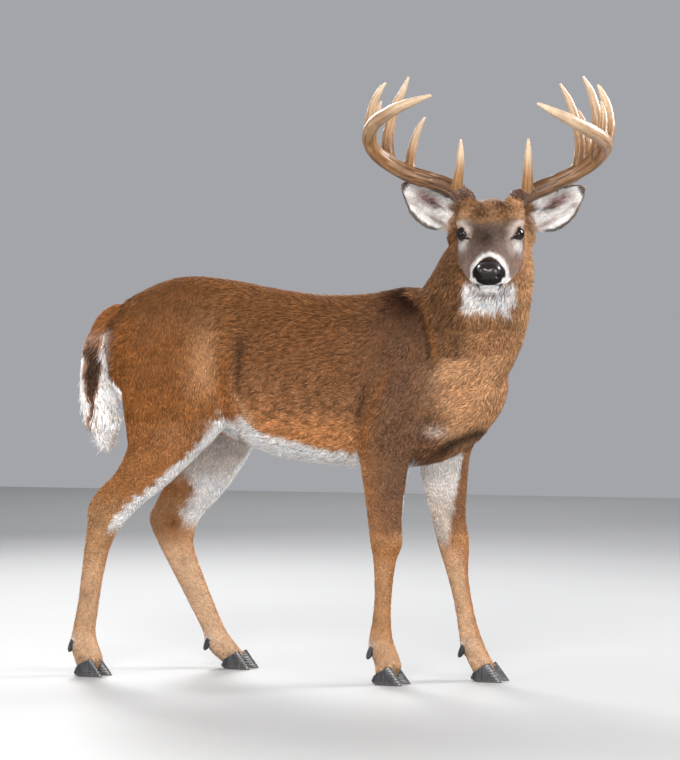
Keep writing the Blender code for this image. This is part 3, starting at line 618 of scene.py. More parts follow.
def skin_mesh():
    """The lofts joined by a fine remesh, the head made finer and shaped, and the ears grown onto it."""
    lofts = [trunk(), limb(NECK, (1, -0.3, 0), 26, DEPTH["neck"]), skull(), tail_core()]
    lofts += [leg(name) for name in LEGS]
    lofts += [head_limb(side, stations, hint, count)
              for hint, count, stations in HEAD_LUMPS.values() for side in (-1, 1)]
    mesh = modified(mesh_of("skin", *joined(*lofts)),
                    ("REMESH", {"mode": "VOXEL", "voxel_size": SKIN_VOXEL}),
                    ("SMOOTH", {"factor": 0.55, "iterations": 4}))
    for share in (head_share, face_share):
        mesh = refined(mesh, share)
    points = points_of(mesh)
    relief = face_relief(points) * head_share(points) + body_relief(points) * (1 - head_share(points))
    points = socketed(points + normals_of(mesh) * relief[:, None])
    move_points(mesh, points)
    for side in (1, -1):
        other = bpy.data.objects.new("ear", mesh_of("ear", *ear(side)))
        mesh = modified(mesh, ("BOOLEAN", {"operation": "UNION", "solver": "EXACT", "object": other}))
        bpy.data.objects.remove(other)
        root = ear_frame(side)[0]
        near = np.linalg.norm(points_of(mesh) - root, axis=1)
        relaxed(mesh, 0.5 * step(near, 0.06, 0.03), 6)
    return mesh


# ---- places on the body -------------------------------------------------------------------------

def body_axes():
    """For each region of the body its middle line, its radius along it, and the way its hair lies."""
    x, top, bottom, half = spread(TRUNK, 28).T
    axes = {"trunk": (np.stack([x, spine_y(x), (top + bottom) / 2], 1), (half + (top - bottom) / 2) / 2,
                      np.tile((-1.0, 0.0, -0.42), (28, 1)), (0, 0, 1))}
    rows = spread(NECK, 14)
    axes["neck"] = rows[:, :3], rows[:, 3:].mean(1), -np.gradient(rows[:, :3], axis=0), (1, 0, 0)
    along, half, top, bottom = spread(SKULL, 20).T
    path = EYES_MIDDLE + np.outer(along, FACE_LINE) + np.outer((top + bottom) / 2, BROW_UP)
    back = np.tile(-FACE_LINE - 0.3 * BROW_UP, (20, 1))
    axes["skull"] = path, (half + (top - bottom) / 2) / 2, back, BROW_UP
    for name in LEGS:
        z, back, front, y, half = spread(LEGS[name], 30).T
        path = np.stack([(back + front) / 2, y, z], 1)
        radius = (half + (front - back) / 2) / 2 * (1 + 0.5 * step(z, 0.6, 0.75))
        axes[name] = path, radius, np.gradient(path, axis=0), (1, 0, 0)
    for label, side in SIDES:
        root, axis, opening, across = ear_frame(side)
        t = np.linspace(0.12, 1, 12)
        path = root + np.outer(t * EAR_LENGTH, axis) + np.outer(0.012 * np.sin(t * math.pi), across)
        radius = 0.042 - 0.026 * t**3
        axes[f"ear_{label}"] = path, radius, np.tile(axis, (12, 1)), tuple(opening)
    rows = spread(TAIL, 16)
    axes["tail"] = rows[:, :3], 2.0 * rows[:, 3:].mean(1), np.gradient(rows[:, :3], axis=0), (1, 0.35, 0)
    return axes


AXES = body_axes()
REGIONS = list(AXES)
FLOW_BLEND = 0.16                          # how softly the lie of one region turns into the next's


class Places:
    """Where points lie on the body: the region, the distance along it, the turn round it, and the lie."""

    def __init__(self, points):
        scores, self.along, self.turn, flows = [], [], [], []
        for path, radius, flow, hint in AXES.values():
            near, score, away, turn = nearest(points, path, radius, *frames(path, np.array(hint, float)))
            tangent = unit(np.gradient(path, axis=0))
            scores.append(score)
            self.along.append(run_along(path)[near] + (away * tangent[near]).sum(1))
            self.turn.append(turn)
            flows.append(unit(flow)[near])
        scores = np.array(scores)
        self.region = scores.argmin(0)
        weight = np.exp(-(scores - scores.min(0)) / FLOW_BLEND)
        self.lie = unit((np.array(flows) * weight[..., None]).sum(0))
        each = np.arange(len(points))
        self.along = np.array(self.along)[self.region, each]
        self.turn = np.array(self.turn)[self.region, each]

    def within(self, *names):
        """Which points lie in the regions whose names start with any of these."""
        return np.isin(self.region, [i for i, name in enumerate(REGIONS) if name.startswith(names)])


# ---- markings -----------------------------------------------------------------------------------

BACK, FLANK, SADDLE = (0.213, 0.087, 0.03), (0.35, 0.162, 0.071), (0.256, 0.11, 0.044)
WITHERS_HAIR_AND_SHADE, HIDE_TAN, RUST = (0.034, 0.013, 0.006), (0.64, 0.288, 0.112), (0.357, 0.133, 0.036)
# The light tan here is both light tan hair on the face and ears, and painted sheen and highlights on the
# haunch, along the flank's fold, down the neck's left side and on the ears' edges.
SHOULDER, THIGH, LIGHT_TAN_AND_SHEEN = (0.192, 0.102, 0.06), (0.33, 0.13, 0.042), (0.68, 0.4, 0.21)
SHIN, SHIN_EDGE, PALE = (0.51, 0.275, 0.135), (0.44, 0.19, 0.068), (0.66, 0.44, 0.285)
WHITE, GREY_WHITE, BLACK = (0.94, 0.915, 0.9), (0.65, 0.55, 0.48), (0.009, 0.006, 0.005)
THROAT_TAN, GREY, DARK = (0.42, 0.215, 0.102), (0.215, 0.147, 0.12), (0.034, 0.018, 0.011)
CHEEK, CROWN, PINK = (0.27, 0.155, 0.098), (0.3, 0.15, 0.07), (0.33, 0.16, 0.145)
NAPE, CHEST = (0.215, 0.104, 0.047), (0.64, 0.36, 0.185)


# the edge of the belly's white: places along the body and its height there
BELLY_LINE = (-0.22, -0.17, -0.12, -0.03, 0.1, 0.25), (0.65, 0.648, 0.61, 0.584, 0.562, 0.545)


class Paint:
    """A colour for each point, laid on coat by coat."""

    def __init__(self, count, colour):
        self.colour = np.tile(np.array(colour, float), (count, 1))

    def over(self, colour, mask):
        self.colour += (np.array(colour) - self.colour) * np.clip(mask, 0, 1)[:, None]


def sides(points, normals):
    """How far each normal faces the buck's middle plane: 1 inwards, -1 outwards."""
    return np.where(points[:, 1] < spine_y(points[:, 0]), 1, -1) * normals[:, 1]


def body_markings(paint, points, normals, places):
    """Dark along the back, tan down the flanks, grey-brown at the shoulder, white along the belly."""
    x, _, z = points.T
    nx, _, nz = normals.T
    rough = waves(points, 0.05, 1) * 0.5 + waves(points, 0.16, 2) * 0.5
    table = np.array(TRUNK)
    top, bottom = np.interp(x, table[:, 0], table[:, 1]), np.interp(x, table[:, 0], table[:, 2])
    down = np.clip((top - z) / (top - bottom), 0, 1) + 0.04 * rough
    paint.over(SADDLE, step(down, 0.66, 0.36))
    paint.over(BACK, step(down, 0.36, 0.1) * (0.75 + 0.25 * rough))
    paint.over(HIDE_TAN, step(down, 0.62, 0.8) * step(x, 0.22, 0.12) * 0.85)
    haunch = step(x, -0.16, -0.24)
    paint.over(THIGH, haunch * step(down, 0.22, 0.5))
    buttock = step(x, -0.42, -0.5) * step(down, 0.15, 0.35)
    paint.over(RUST, haunch * np.maximum(step(down, 0.55, 0.95), buttock) * 0.85)
    side_on = np.stack([x, z], 1)
    # painted sheen in light tan on the haunch
    paint.over(LIGHT_TAN_AND_SHEEN, hill(side_on, (-0.262, 0.785), (0.042, 0.09)) * 0.55)
    paint.over(LIGHT_TAN_AND_SHEEN, hill(side_on, (-0.33, 0.59), (0.06, 0.045)) * 0.35)
    paint.over(BACK, hill(side_on, (-0.345, 0.76), (0.045, 0.09)) * 0.5)
    paint.over(RUST, hill(side_on, (-0.21, 0.72), (0.016, 0.1)) * 0.6)
    # painted shade: dark along the flank's groove, where the skin's fold sinks
    groove = ridge(flank_line(x, z), 0.01) * band(z, 0.7, 0.74, 0.8, 0.88)
    paint.over(DARK, groove * 0.75)
    fore = ridge(x - 0.24, 0.105) * band(z, 0.345, 0.385, 0.88, 1.0)
    paint.over(SHOULDER, fore * 0.95 * (0.85 + 0.15 * rough))
    # the withers: dark hair, with painted shade over it
    paint.over(WITHERS_HAIR_AND_SHADE, hill(side_on, (0.245, 0.935), (0.07, 0.065)) * 1.1)
    paint.over(PALE, hill(side_on, (0.33, 0.735), (0.03, 0.065)) * 0.28)
    # painted shade: dark along the fold behind the elbow, where the skin sinks
    elbow = ridge(elbow_line(x, z), 0.011) * band(z, 0.61, 0.64, 0.68, 0.74)
    paint.over(DARK, elbow * 0.6)
    paint.over(RUST, ridge(x - 0.148 - 0.35 * (z - 0.6), 0.014) * band(z, 0.54, 0.6, 0.72, 0.8) * 0.5)
    inner = sides(points, normals)
    belly_line = np.interp(x, *BELLY_LINE)
    belly = step(z - 0.006 * rough, belly_line + 0.007, belly_line - 0.007) * step(x, 0.27, 0.22)
    inwards = np.maximum(inner, 0)
    belly *= step(x - 0.25 * inwards, -0.195, -0.175) + step(x, -0.2, -0.21) * step(inner, 0.1, 0.4)
    belly *= step(x, -0.48, -0.44) * step(nz - 0.5 * inwards, -0.1, -0.32)
    belly *= 1 - places.within("foreleg") * step(inner, 0.3, 0.0)
    paint.over(WHITE, belly)
    # painted highlight in light tan along the lower edge of the flank's fold
    fold_highlight = ridge(x + 0.178 - 0.59 * (0.704 - z), 0.009) * band(z, 0.615, 0.64, 0.69, 0.712)
    paint.over(LIGHT_TAN_AND_SHEEN, fold_highlight)
    breast = step(x, 0.3, 0.38) * band(z, 0.5, 0.6, 0.8, 0.95)
    paint.over(CHEST, breast * step(normals @ unit(np.array((0.6, -0.8, 0.0))), -0.1, 0.8) * 0.75)
    cord = ridge(z - 0.59 - 0.55 * (x - 0.36), 0.011) * band(x, 0.29, 0.33, 0.405, 0.425)
    paint.over(BLACK, cord * step(nz, 0.5, 0.1) * 0.85)
    paint.over(GREY_WHITE, hill(side_on, (0.32, 0.615), (0.028, 0.014)) * step(nz, 0.3, -0.1) * 0.7)
    rump = hill(points, (-0.552, -0.125, 0.82), (0.03, 0.052, 0.11)) * step(nx, -0.2, -0.6)
    paint.over(WHITE, rump * 1.6 * band(z, 0.745, 0.775, 0.855, 0.872))


def neck_markings(paint, points, normals, places):
    """Brown at the sides and nape, tan down the front, with a white bib and a painted grey shadow across it
    under the chin.
    """
    on_neck = places.within("neck", "skull") * 1.0
    x, _, z = points.T
    rough = waves(points, 0.03, 3)
    ahead = normals @ unit(np.array((0.45, -0.89, 0.0)))
    beside = (points - np.array((0.4675, -0.2555, 0))) @ HEAD_SIDE
    paint.over(NAPE, on_neck * 0.95)
    paint.over(THROAT_TAN, on_neck * step(beside, -0.085, -0.02 + 0.012 * rough) * step(ahead, -0.1, 0.3))
    # painted sheen in light tan down the neck's left side
    paint.over(LIGHT_TAN_AND_SHEEN, on_neck * step(beside, 0.03, 0.1) * 0.45)
    # painted shade: dark along the crease between neck and shoulder, where the skin sinks
    crease = ridge(shoulder_line(x, z), 0.008) * band(z, 0.74, 0.8, 0.9, 0.97)
    paint.over(DARK, crease * 0.65)
    fold = ridge(shoulder_line(x, z) - 0.018, 0.007) * band(z, 0.74, 0.8, 0.9, 0.97)
    paint.over(RUST, fold * 0.65)
    low = 0.9 + 0.008 * rough + 0.9 * np.maximum(np.abs(beside) - 0.042, 0)
    bib = step(z, low - 0.006, low + 0.012) * step(np.abs(beside), 0.066, 0.056 - 0.004 * rough)
    bib *= step(z, 0.972, 0.955) * step(ahead, 0.1, 0.4)
    paint.over(WHITE, bib * places.within("neck", "skull", "trunk"))
    # painted shadow in grey across the bib under the chin
    shade = ridge(z - 0.943 - 5.0 * beside**2, 0.005) * step(np.abs(beside), 0.05, 0.035)
    paint.over(GREY, bib * shade * on_neck * 0.85)


def leg_markings(paint, points, normals, places):
    """Tan shins with rusty edges, white on the inner forearm, along the front of the gaskin and in the
    flank's fold, the glands inside the hocks, and pale and dark patches at the dewclaws."""
    x, _, z = points.T
    nx = normals[:, 0]
    inner = sides(points, normals)
    rough = waves(points, 0.025, 4)
    fore, hind = places.within("foreleg") * 1.0, places.within("hindleg") * 1.0
    legs = np.clip(fore + hind, 0, 1)
    paint.over(SHIN_EDGE, hind * step(z, 0.67, 0.54) * 0.75)
    paint.over(SHIN_EDGE, hind * step(z, 0.58, 0.47))
    paint.over(SHIN, fore * step(z + 0.01 * rough, 0.385, 0.345) + hind * step(z + 0.01 * rough, 0.47, 0.4))
    knee = ridge(z - 0.325, 0.032) * fore
    paint.over(SHIN_EDGE, knee * 0.75)
    paint.over(SHIN_EDGE, legs * step(z, 0.36, 0.3) * step(np.abs(nx), 0.7, 1.0) * 0.6)
    paint.over(CROWN, legs * band(z, 0.1, 0.14, 0.2, 0.27) * step(inner, -0.5, -0.9) * 0.3)
    paint.over(PALE, legs * step(z, 0.36, 0.28) * step(inner, 0.1, 0.9) * 0.6)
    paint.over(PALE, legs * step(z, 0.14, 0.06) * 0.45)
    paint.over(PALE, hind * step(z, 0.34, 0.24) * 0.45)
    low = step(z, 0.6, 0.42)
    gaskin = step(nx + (0.6 - 0.48 * low) * inner - 0.27 + 0.06 * rough, -0.1, 0.1)
    paint.over(WHITE, hind * (gaskin * band(z, 0.345, 0.385, 0.62, 0.7)))
    groin = hind * step(inner, 0.1, 0.6) * step(z, 0.46, 0.54)
    paint.over(GREY_WHITE, groin * 0.8)
    edge = 0.25 + 0.65 * step(z, 0.52, 0.34)
    forearm = step(inner - 0.45 * nx - edge + 0.06 * rough, -0.14, 0.14) * band(z, 0.31, 0.36, 0.56, 0.64)
    paint.over(GREY_WHITE, fore * forearm)
    paint.over(WHITE, fore * forearm * step(z, 0.4, 0.5) * 0.6)
    fold = hill(np.stack([x, z], 1), (-0.214, 0.614), (0.03, 0.026)) * step(z, 0.652, 0.636)
    paint.over(WHITE, fold * 1.6 * places.within("trunk", "hindleg"))
    for place in ((-0.545, -0.2, 0.385), (-0.44, -0.035, 0.372)):
        paint.over(SHIN_EDGE, hind * hill(points, place, (0.034, 0.02, 0.032)) * 1.2)
        ring = np.linalg.norm((points - place) / (0.016, 0.03, 0.016), axis=1)
        paint.over(CROWN, hind * ridge(ring - 1.0, 0.25) * 0.8)
        paint.over(DARK, hind * hill(points, place, (0.007, 0.02, 0.005)) * 0.9)
    for _, (px, py, _, height) in FEET.values():
        back = (px - 0.012, py, height + 0.004)
        paint.over(WHITE, legs * hill(points, back, (0.022, 0.024, 0.013)) * 0.85)
        paint.over(DARK, legs * hill(points, (px - 0.01, py, height - 0.02), (0.02, 0.022, 0.012)) * 0.75)


# Soft patches on the face as seen from its front, in millimetres from the eyes' middle:
# (colour, to the buck's left, up, half width, half height, strength)
FACE_PATCHES = [
    (CROWN, 0, 60, 70, 26, 0.9), (LIGHT_TAN_AND_SHEEN, 0, 33, 44, 7, 0.28), (DARK, -24, 52, 15, 11, 0.8),
    (DARK, 12, 66, 9, 8, 0.45), (DARK, 43, 66, 14, 11, 0.8), (DARK, -48, 74, 14, 8, 0.4),
    (LIGHT_TAN_AND_SHEEN, 6, 58, 11, 12, 0.35), (LIGHT_TAN_AND_SHEEN, 64, 50, 12, 16, 0.5), (LIGHT_TAN_AND_SHEEN, -64, 50, 12, 16, 0.5),
    (DARK, -8, -8, 25, 32, 0.9), (DARK, -31, 4, 9, 15, 0.5), (DARK, 24, 0, 9, 18, 0.35),
    (DARK, -46, 29, 5, 13, 0.75), (DARK, 43, 29, 5, 13, 0.75), (CHEEK, 66, -60, 16, 16, 0.8),
    (CHEEK, -66, -58, 14, 18, 0.35), (GREY_WHITE, 42, -10, 7, 30, 0.22), (GREY_WHITE, 68, 29, 17, 7, 0.95),
    (GREY_WHITE, -68, 29, 17, 7, 0.95), (GREY_WHITE, 50, 17, 8, 12, 0.55), (GREY_WHITE, -50, 17, 8, 12, 0.55),
    (WHITE, 62, -26, 13, 17, 0.6), (WHITE, -65, -23, 12, 14, 0.8), (THROAT_TAN, 90, -20, 8, 60, 0.6),
    (THROAT_TAN, -90, -20, 8, 60, 0.6)]


TAIL_OUT = unit(np.array((-0.5, -0.87, 0.0)))     # the way the tail's upper face looks
NOSE_MIDDLE = (0.18, 0.0, 0.004)


def ear_places(points, side):
    """Each point's share of an ear's length, and its distance from the ear's middle line as a share of
    the way to the edge."""
    root, axis, _, across = ear_frame(side)
    t = (points - root) @ axis / EAR_LENGTH
    shares, lower, upper = np.array(EAR_OUTLINE).T
    lower, upper = shrunk(lower, DEPTH["ear"]), shrunk(upper, DEPTH["ear"])
    half = np.interp(t, shares, (lower + upper) / 2)
    return t, np.abs((points - root) @ across - np.interp(t, shares, (lower - upper) / 2)) / half


def head_markings(paint, points, normals, places):
    """White rings at the eyes and round the muzzle, a grey bridge, black lips and a dark brow; painted shade
    under the jaw and painted shadows beside and under the chin.
    """
    places_on = head_places(points)
    a, b, c = places_on.T
    aside, up = 1000 * b, 1000 * (c * math.cos(HEAD_DROP) - a * math.sin(HEAD_DROP))
    beside = np.abs(aside)
    on = places.within("skull") * 1.0
    rough = waves(points, 0.016, 5)
    face = on * step(normals @ FACING, -0.05, 0.25) * step(a, -0.09, -0.06)
    paint.over(CROWN, on * step(c, -0.06, -0.02))
    paint.over(NAPE, on * step(a, -0.05, -0.075) * step(c, 0.0, 0.03))
    paint.over(GREY, face * step(up + 6 * rough, 46, 14) * step(beside, 88, 72))
    for colour, middle, height, half, tall, strength in FACE_PATCHES:
        patch = np.exp(-((aside - middle) / half)**2 - ((up - height) / tall)**2)
        paint.over(colour, face * patch * strength * (0.88 + 0.12 * rough))
    mottle = waves(points * (1.0, 1.0, 0.55), 0.0085, 31)
    brow = face * step(up, 24, 40)
    bridge = face * step(beside, 46, 30) * step(up, -66, -50)
    paint.over(DARK, (brow * 0.38 + bridge * 0.3) * np.clip(mottle, 0, 1))
    paint.over(LIGHT_TAN_AND_SHEEN, brow * np.clip(-mottle, 0, 1) * 0.3)
    for side in (1, -1):
        ratio = opening_ratio(points, side)
        near = (np.linalg.norm(points - eye_centre(side), axis=1) < 0.04)
        near = near * ((points - eye_centre(side)) @ eye_axes(side)[0] > 0)
        paint.over(GREY_WHITE, near * band(ratio, 1.25, 1.5, 1.7, 2.1) * 0.45)
        paint.over(BLACK, near * step(ratio, 1.3, 1.16))
        tear = np.exp(-((aside - side * 48) / 3.2)**2 - ((up + 7) / 3.2)**2)
        paint.over(DARK, face * tear * 0.85)
    ahead = step(a, 0.105, 0.115)
    arch = ((beside / 41.5)**1.75 + (np.maximum(up + 99, 0) / 50.0)**1.75)**(1 / 1.75)
    muzzle = step(arch, 0.83, 0.92) * step(arch + 0.04 * rough, 1.22, 1.0) * step(up, -126, -118)
    paint.over(WHITE, on * ahead * muzzle * step(a, 0.095, 0.12) * (0.74 + 0.24 * ridge(beside - 24, 10)))
    paint.over(DARK, on * step(arch, 0.89, 0.8) * step(a, 0.12, 0.13) * step(up, -110, -100))
    under = step(a, 0.085, 0.105) * step(up, -100, -106) * step(normals @ FACING, -0.75, -0.35)
    paint.over(WHITE, on * under)
    # painted shade in grey-white on the jaw's underside, where its normals face down
    jaw = band(a, 0.02, 0.06, 0.1, 0.13) * step(normals[:, 2], -0.45, -0.75)
    paint.over(GREY_WHITE, on * jaw * 0.8)
    round_nose = np.linalg.norm((places_on - NOSE_MIDDLE) / (0.024, 0.0365, 0.0275), axis=1)
    narrow = step(up, -101, -107) * step(beside, 23 + 0.4 * (up + 120), 27 + 0.4 * (up + 120))
    paint.over(BLACK, on * step(round_nose, 1.13, 1.03))
    paint.over(WHITE, on * ahead * narrow * step(up, -124, -120) * 0.95)
    # painted shadows in black beside the chin, at the mouth's corners
    corner = ridge(beside - 26 - 0.4 * (up + 122), 3.2) * band(up, -135, -131, -118, -115)
    paint.over(BLACK, on * corner * ahead * 1.8)
    # painted shadow, dark along the chin's lower edge, where it turns away from the front
    chin_edge_shadow = step(a, 0.1, 0.12) * step(normals @ FACING, 0.22, -0.05) * step(up, -120, -128)
    paint.over(DARK, on * chin_edge_shadow * 0.75)
    lip = ridge(up + 119.5, 1.8) * step(beside, 30, 27)
    paint.over(BLACK, on * lip * ahead * 0.9)
    paint.over(DARK, on * ahead * np.exp(-(aside / 3.0)**2 - ((up + 139) / 3.0)**2) * 0.7)


# Patches inside an ear: (colour, place and size as shares of its length along and across it, strength,
# and how much of that comes and goes)
EAR_PATCHES = [
    (GREY, (0.62, -0.01), (0.2, 0.11), 0.8, 0.2), (PINK, (0.54, 0.0), (0.17, 0.07), 0.85, 0.15),
    (DARK, (0.45, 0.02), (0.13, 0.04), 0.75, 0.25), (BLACK, (0.24, -0.03), (0.05, 0.025), 0.7, 0),
    (SHOULDER, (0.3, 0.2), (0.22, 0.04), 0.7, 0), (SHOULDER, (0.75, 0.16), (0.18, 0.04), 0.5, 0)]


def ear_markings(paint, points, normals, places):
    """Grey-brown outside with a dark rim; white hair inside round a pink and dark middle; a painted highlight
    in light tan along the edge.
    """
    for label, side in SIDES:
        on = places.within(f"ear_{label}") * 1.0
        root, axis, opening, across = ear_frame(side)
        t = (points - root) @ axis / EAR_LENGTH
        v = (points - root) @ across
        rough = waves(points, 0.012, 6)
        facing = normals @ opening
        paint.over(BACK, on)
        paint.over(CROWN, on * step(t, 0.45, 0.15) * 0.7)
        inside = on * step(facing, 0.0, 0.25)
        paint.over(WHITE, inside)
        paint.over(LIGHT_TAN_AND_SHEEN, inside * step(t, 0.24, 0.12) * 0.7)
        root_fur = np.maximum(step(t, 0.15, 0.04), step(t, 0.34, 0.2) * step(v, 0.004, -0.008))
        paint.over(CROWN, inside * root_fur)
        shell = np.stack([t, v / EAR_LENGTH], 1)
        for colour, place, size, strength, mottle in EAR_PATCHES:
            paint.over(colour, inside * hill(shell, place, size) * (strength + mottle * rough))
        edge = ear_places(points, side)[1] + 0.03 * rough
        rim = np.maximum(step(edge, 0.8, 0.92) * step(t, 0.12, 0.3), step(t, 0.9, 0.95))
        paint.over(DARK, on * rim * 0.88)
        # painted highlight in light tan along the ear's edge and at its tip
        fringe = np.maximum(step(edge, 1.0, 1.06) * step(t, 0.12, 0.3), step(t, 0.985, 1.0))
        paint.over(LIGHT_TAN_AND_SHEEN, on * fringe * 0.55)


def tail_markings(paint, points, normals, places):
    """Brown above with a dark middle line, a white fringe and a white underside."""
    on = places.within("tail") * 1.0
    z = points[:, 2]
    across = points @ np.array((0.94, 0.342, 0.0))
    heights = (0.64, 0.684, 0.722, 0.761, 0.811, 0.857, 0.88)
    middle = np.interp(z, heights, (-0.621, -0.6235, -0.6225, -0.617, -0.6166, -0.612, -0.6))
    half = np.interp(z, heights, (0.004, 0.009, 0.0145, 0.022, 0.021, 0.02, 0.045))
    outer = step(normals @ TAIL_OUT, -0.2, 0.15)
    off = np.abs(across - middle) / half
    paint.over(WHITE, on)
    paint.over(RUST, on * outer * step(off, 1.15, 0.85) * step(z, 0.625, 0.65) * 0.85)
    paint.over(DARK, on * outer * step(off, 0.95, 0.45) * band(z, 0.64, 0.7, 0.8, 0.86) * 0.88)
    paint.over(THIGH, on * step(z, 0.85, 0.872))


def markings(points, normals, places):
    """The coat's colour at each point."""
    paint = Paint(len(points), FLANK)
    body_markings(paint, points, normals, places)
    neck_markings(paint, points, normals, places)
    leg_markings(paint, points, normals, places)
    head_markings(paint, points, normals, places)
    ear_markings(paint, points, normals, places)
    tail_markings(paint, points, normals, places)
    return paint.colour * (1 + 0.07 * waves(points, 0.035, 7) + 0.08 * waves(points, 0.012, 8))[:, None]


# ---- the coat -----------------------------------------------------------------------------------

PATCH = 0.003                              # a tuft's patch on its piece's map
RING_AT, LONG_RINGS = 0.38, (0.22, 0.62)   # where a tuft is widest, and a long one's two rings
ROOT_DEPTH = 0.0008                        # a root's depth in the skin
SHORTEST, BARE_BELOW = 0.002, 0.02         # no tuft is shorter, or grows lower, than this
LENGTH_SPREAD, LIFT_SPREAD, WIDTH_SPREAD, STRAY = 0.16, 0.3, 0.12, 0.16
TONE_SPREAD, WARMTH_SPREAD = 0.2, 0.05     # from tuft to tuft
DARK_TUFTS, DARK_TONE = 0.2, 0.55          # the share of tufts with dark tips, and how dark those are
STREAKS, STREAK_STRETCH = (0.0062, 0.0105), (0.33, 1.0, 0.9)   # the coat's pattern, drawn out along the body
MAP_MARGIN = 0.01
TRUNK_PARTED_AT = -0.13                    # x where the trunk's coat is parted into front and back
SKIN_SHADE = 0.72                          # the hide's colour as a share of the hair's


def coat_of(points, normals, places):
    """For each point a tuft's length, width and lift, and how many tufts grow to a square metre."""
    z = points[:, 2]
    down = -normals[:, 2]
    along = head_places(points)[:, 0]
    size = np.zeros((len(points), 4))

    def grow(mask, *values):
        size[:] += (np.array(values) - size) * np.clip(mask, 0, 1)[:, None]

    grow(np.ones(len(points)), 0.0155, 0.0018, 0.0028, 106000)
    grow(places.within("trunk") * step(down, 0.45, 0.85), 0.022, 0.0024, 0.0042, 70000)
    grow(places.within("neck"), 0.015, 0.0019, 0.0032, 118000)
    breast = step(points[:, 0], 0.3, 0.4) * band(z, 0.5, 0.55, 0.7, 0.8)
    grow(breast * places.within("trunk", "neck"), 0.02, 0.0022, 0.0042, 90000)
    legs = places.within("foreleg", "hindleg") * 1.0
    grow(legs * step(z, 0.7, 0.5), 0.013, 0.0019, 0.0024, 100000)
    grow(places.within("hindleg") * step(z, 0.45, 0.52), 0.016, 0.0019, 0.0026, 89000)
    grow(legs * step(z, 0.42, 0.3), 0.009, 0.0015, 0.001, 122000)
    grow(legs * step(z, 0.1, 0.06), 0.008, 0.0013, 0.001, 160000)
    grow(legs * step(z, 0.066, 0.052), 0.014, 0.0014, 0.0016, 210000)
    for _, (px, py, _, height) in FEET.values():
        fetlock = hill(points, (px - 0.01, py, height + 0.004), (0.022, 0.026, 0.012))
        grow(legs * fetlock, 0.018, 0.0017, 0.0036, 160000)
    skull = places.within("skull") * 1.0
    grow(skull, 0.013, 0.0016, 0.0018, 170000)
    grow(skull * step(along, -0.05, 0.0), 0.007, 0.0011, 0.0009, 300000)
    grow(skull * step(along, 0.08, 0.12), 0.0042, 0.0008, 0.0006, 420000)
    crown = hill(head_places(points), (-0.075, 0, 0.05), (0.03, 0.04, 0.03))
    grow(skull * crown, 0.018, 0.0018, 0.006, 160000)
    bib = band(z, 0.86, 0.88, 0.955, 0.965) * (normals @ FACING > 0.3)
    grow(bib * places.within("neck", "trunk"), 0.026, 0.0022, 0.0055, 130000)
    ears = places.within("ear") * 1.0
    grow(ears, 0.007, 0.0012, 0.0008, 190000)
    for label, side in SIDES:
        inside = step(normals @ ear_frame(side)[2], 0.0, 0.4) * places.within(f"ear_{label}")
        t, edge = ear_places(points, side)
        grow(inside, 0.014, 0.0012, 0.0026, 250000)
        grow(inside * step(edge, 0.6, 0.85), 0.006, 0.001, 0.0008, 260000)
        grow(inside * step(t, 0.8, 0.92), 0.005, 0.001, 0.0006, 260000)
        near = np.linalg.norm(points - eye_centre(side), axis=1)
        grow((opening_ratio(points, side) < 1.35) * (near < 0.04), 0.0, 0.0008, 0.0, 0)
    tail = places.within("tail") * 1.0
    front = step(normals @ np.array((0.94, 0.34, 0.0)), 0.3, 0.7)
    grow(tail, 0.044, 0.0028, 0.0085, 100000)
    grow(tail * step(normals @ TAIL_OUT, -0.1, 0.4) * step(z, 0.66, 0.72), 0.026, 0.0022, 0.004, 130000)
    grow(tail * front * step(z, 0.72, 0.77), 0.03, 0.0024, 0.013, 120000)
    grow(tail * step(z, 0.64, 0.6), 0.05, 0.0024, 0.005, 100000)
    grow(tail * step(z, 0.845, 0.875), 0.018, 0.0019, 0.0026, 112000)
    rump = hill(points, (-0.552, -0.125, 0.8), (0.04, 0.05, 0.11)) * step(normals[:, 0], -0.2, -0.6)
    grow(places.within("trunk") * rump * 1.6, 0.03, 0.0024, 0.015, 110000)
    nose = np.linalg.norm((head_places(points) - NOSE_MIDDLE) / (0.024, 0.0345, 0.0275), axis=1)
    grow((nose < 1.08) * 1.0, 0.0, 0.0008, 0.0, 0)
    return size.T


def scattered(mesh, draw):
    """Points over the mesh, as dense as the coat grows there, with their normals."""
    mesh.calc_loop_triangles()
    corners = read(mesh.loop_triangles, "vertices", 3, np.int32)
    points, normals = points_of(mesh), normals_of(mesh)
    density = coat_of(points, normals, Places(points))[3]
    a, b, c = (points[corners[:, k]] for k in range(3))
    area = np.linalg.norm(np.cross(b - a, c - a), axis=1) / 2
    share = np.cumsum(area * density[corners].mean(1))
    count = int(share[-1])
    picked = np.searchsorted(share, np.arange(count) + draw.uniform(0, 1, count))
    picked = np.minimum(picked, len(corners) - 1)
    u, v = draw.uniform(0, 1, (2, count))
    flip = u + v > 1
    u, v = np.where(flip, 1 - u, u), np.where(flip, 1 - v, v)
    parts = np.stack([1 - u - v, u, v], 1)[..., None]
    return (points[corners[picked]] * parts).sum(1), unit((normals[corners[picked]] * parts).sum(1))


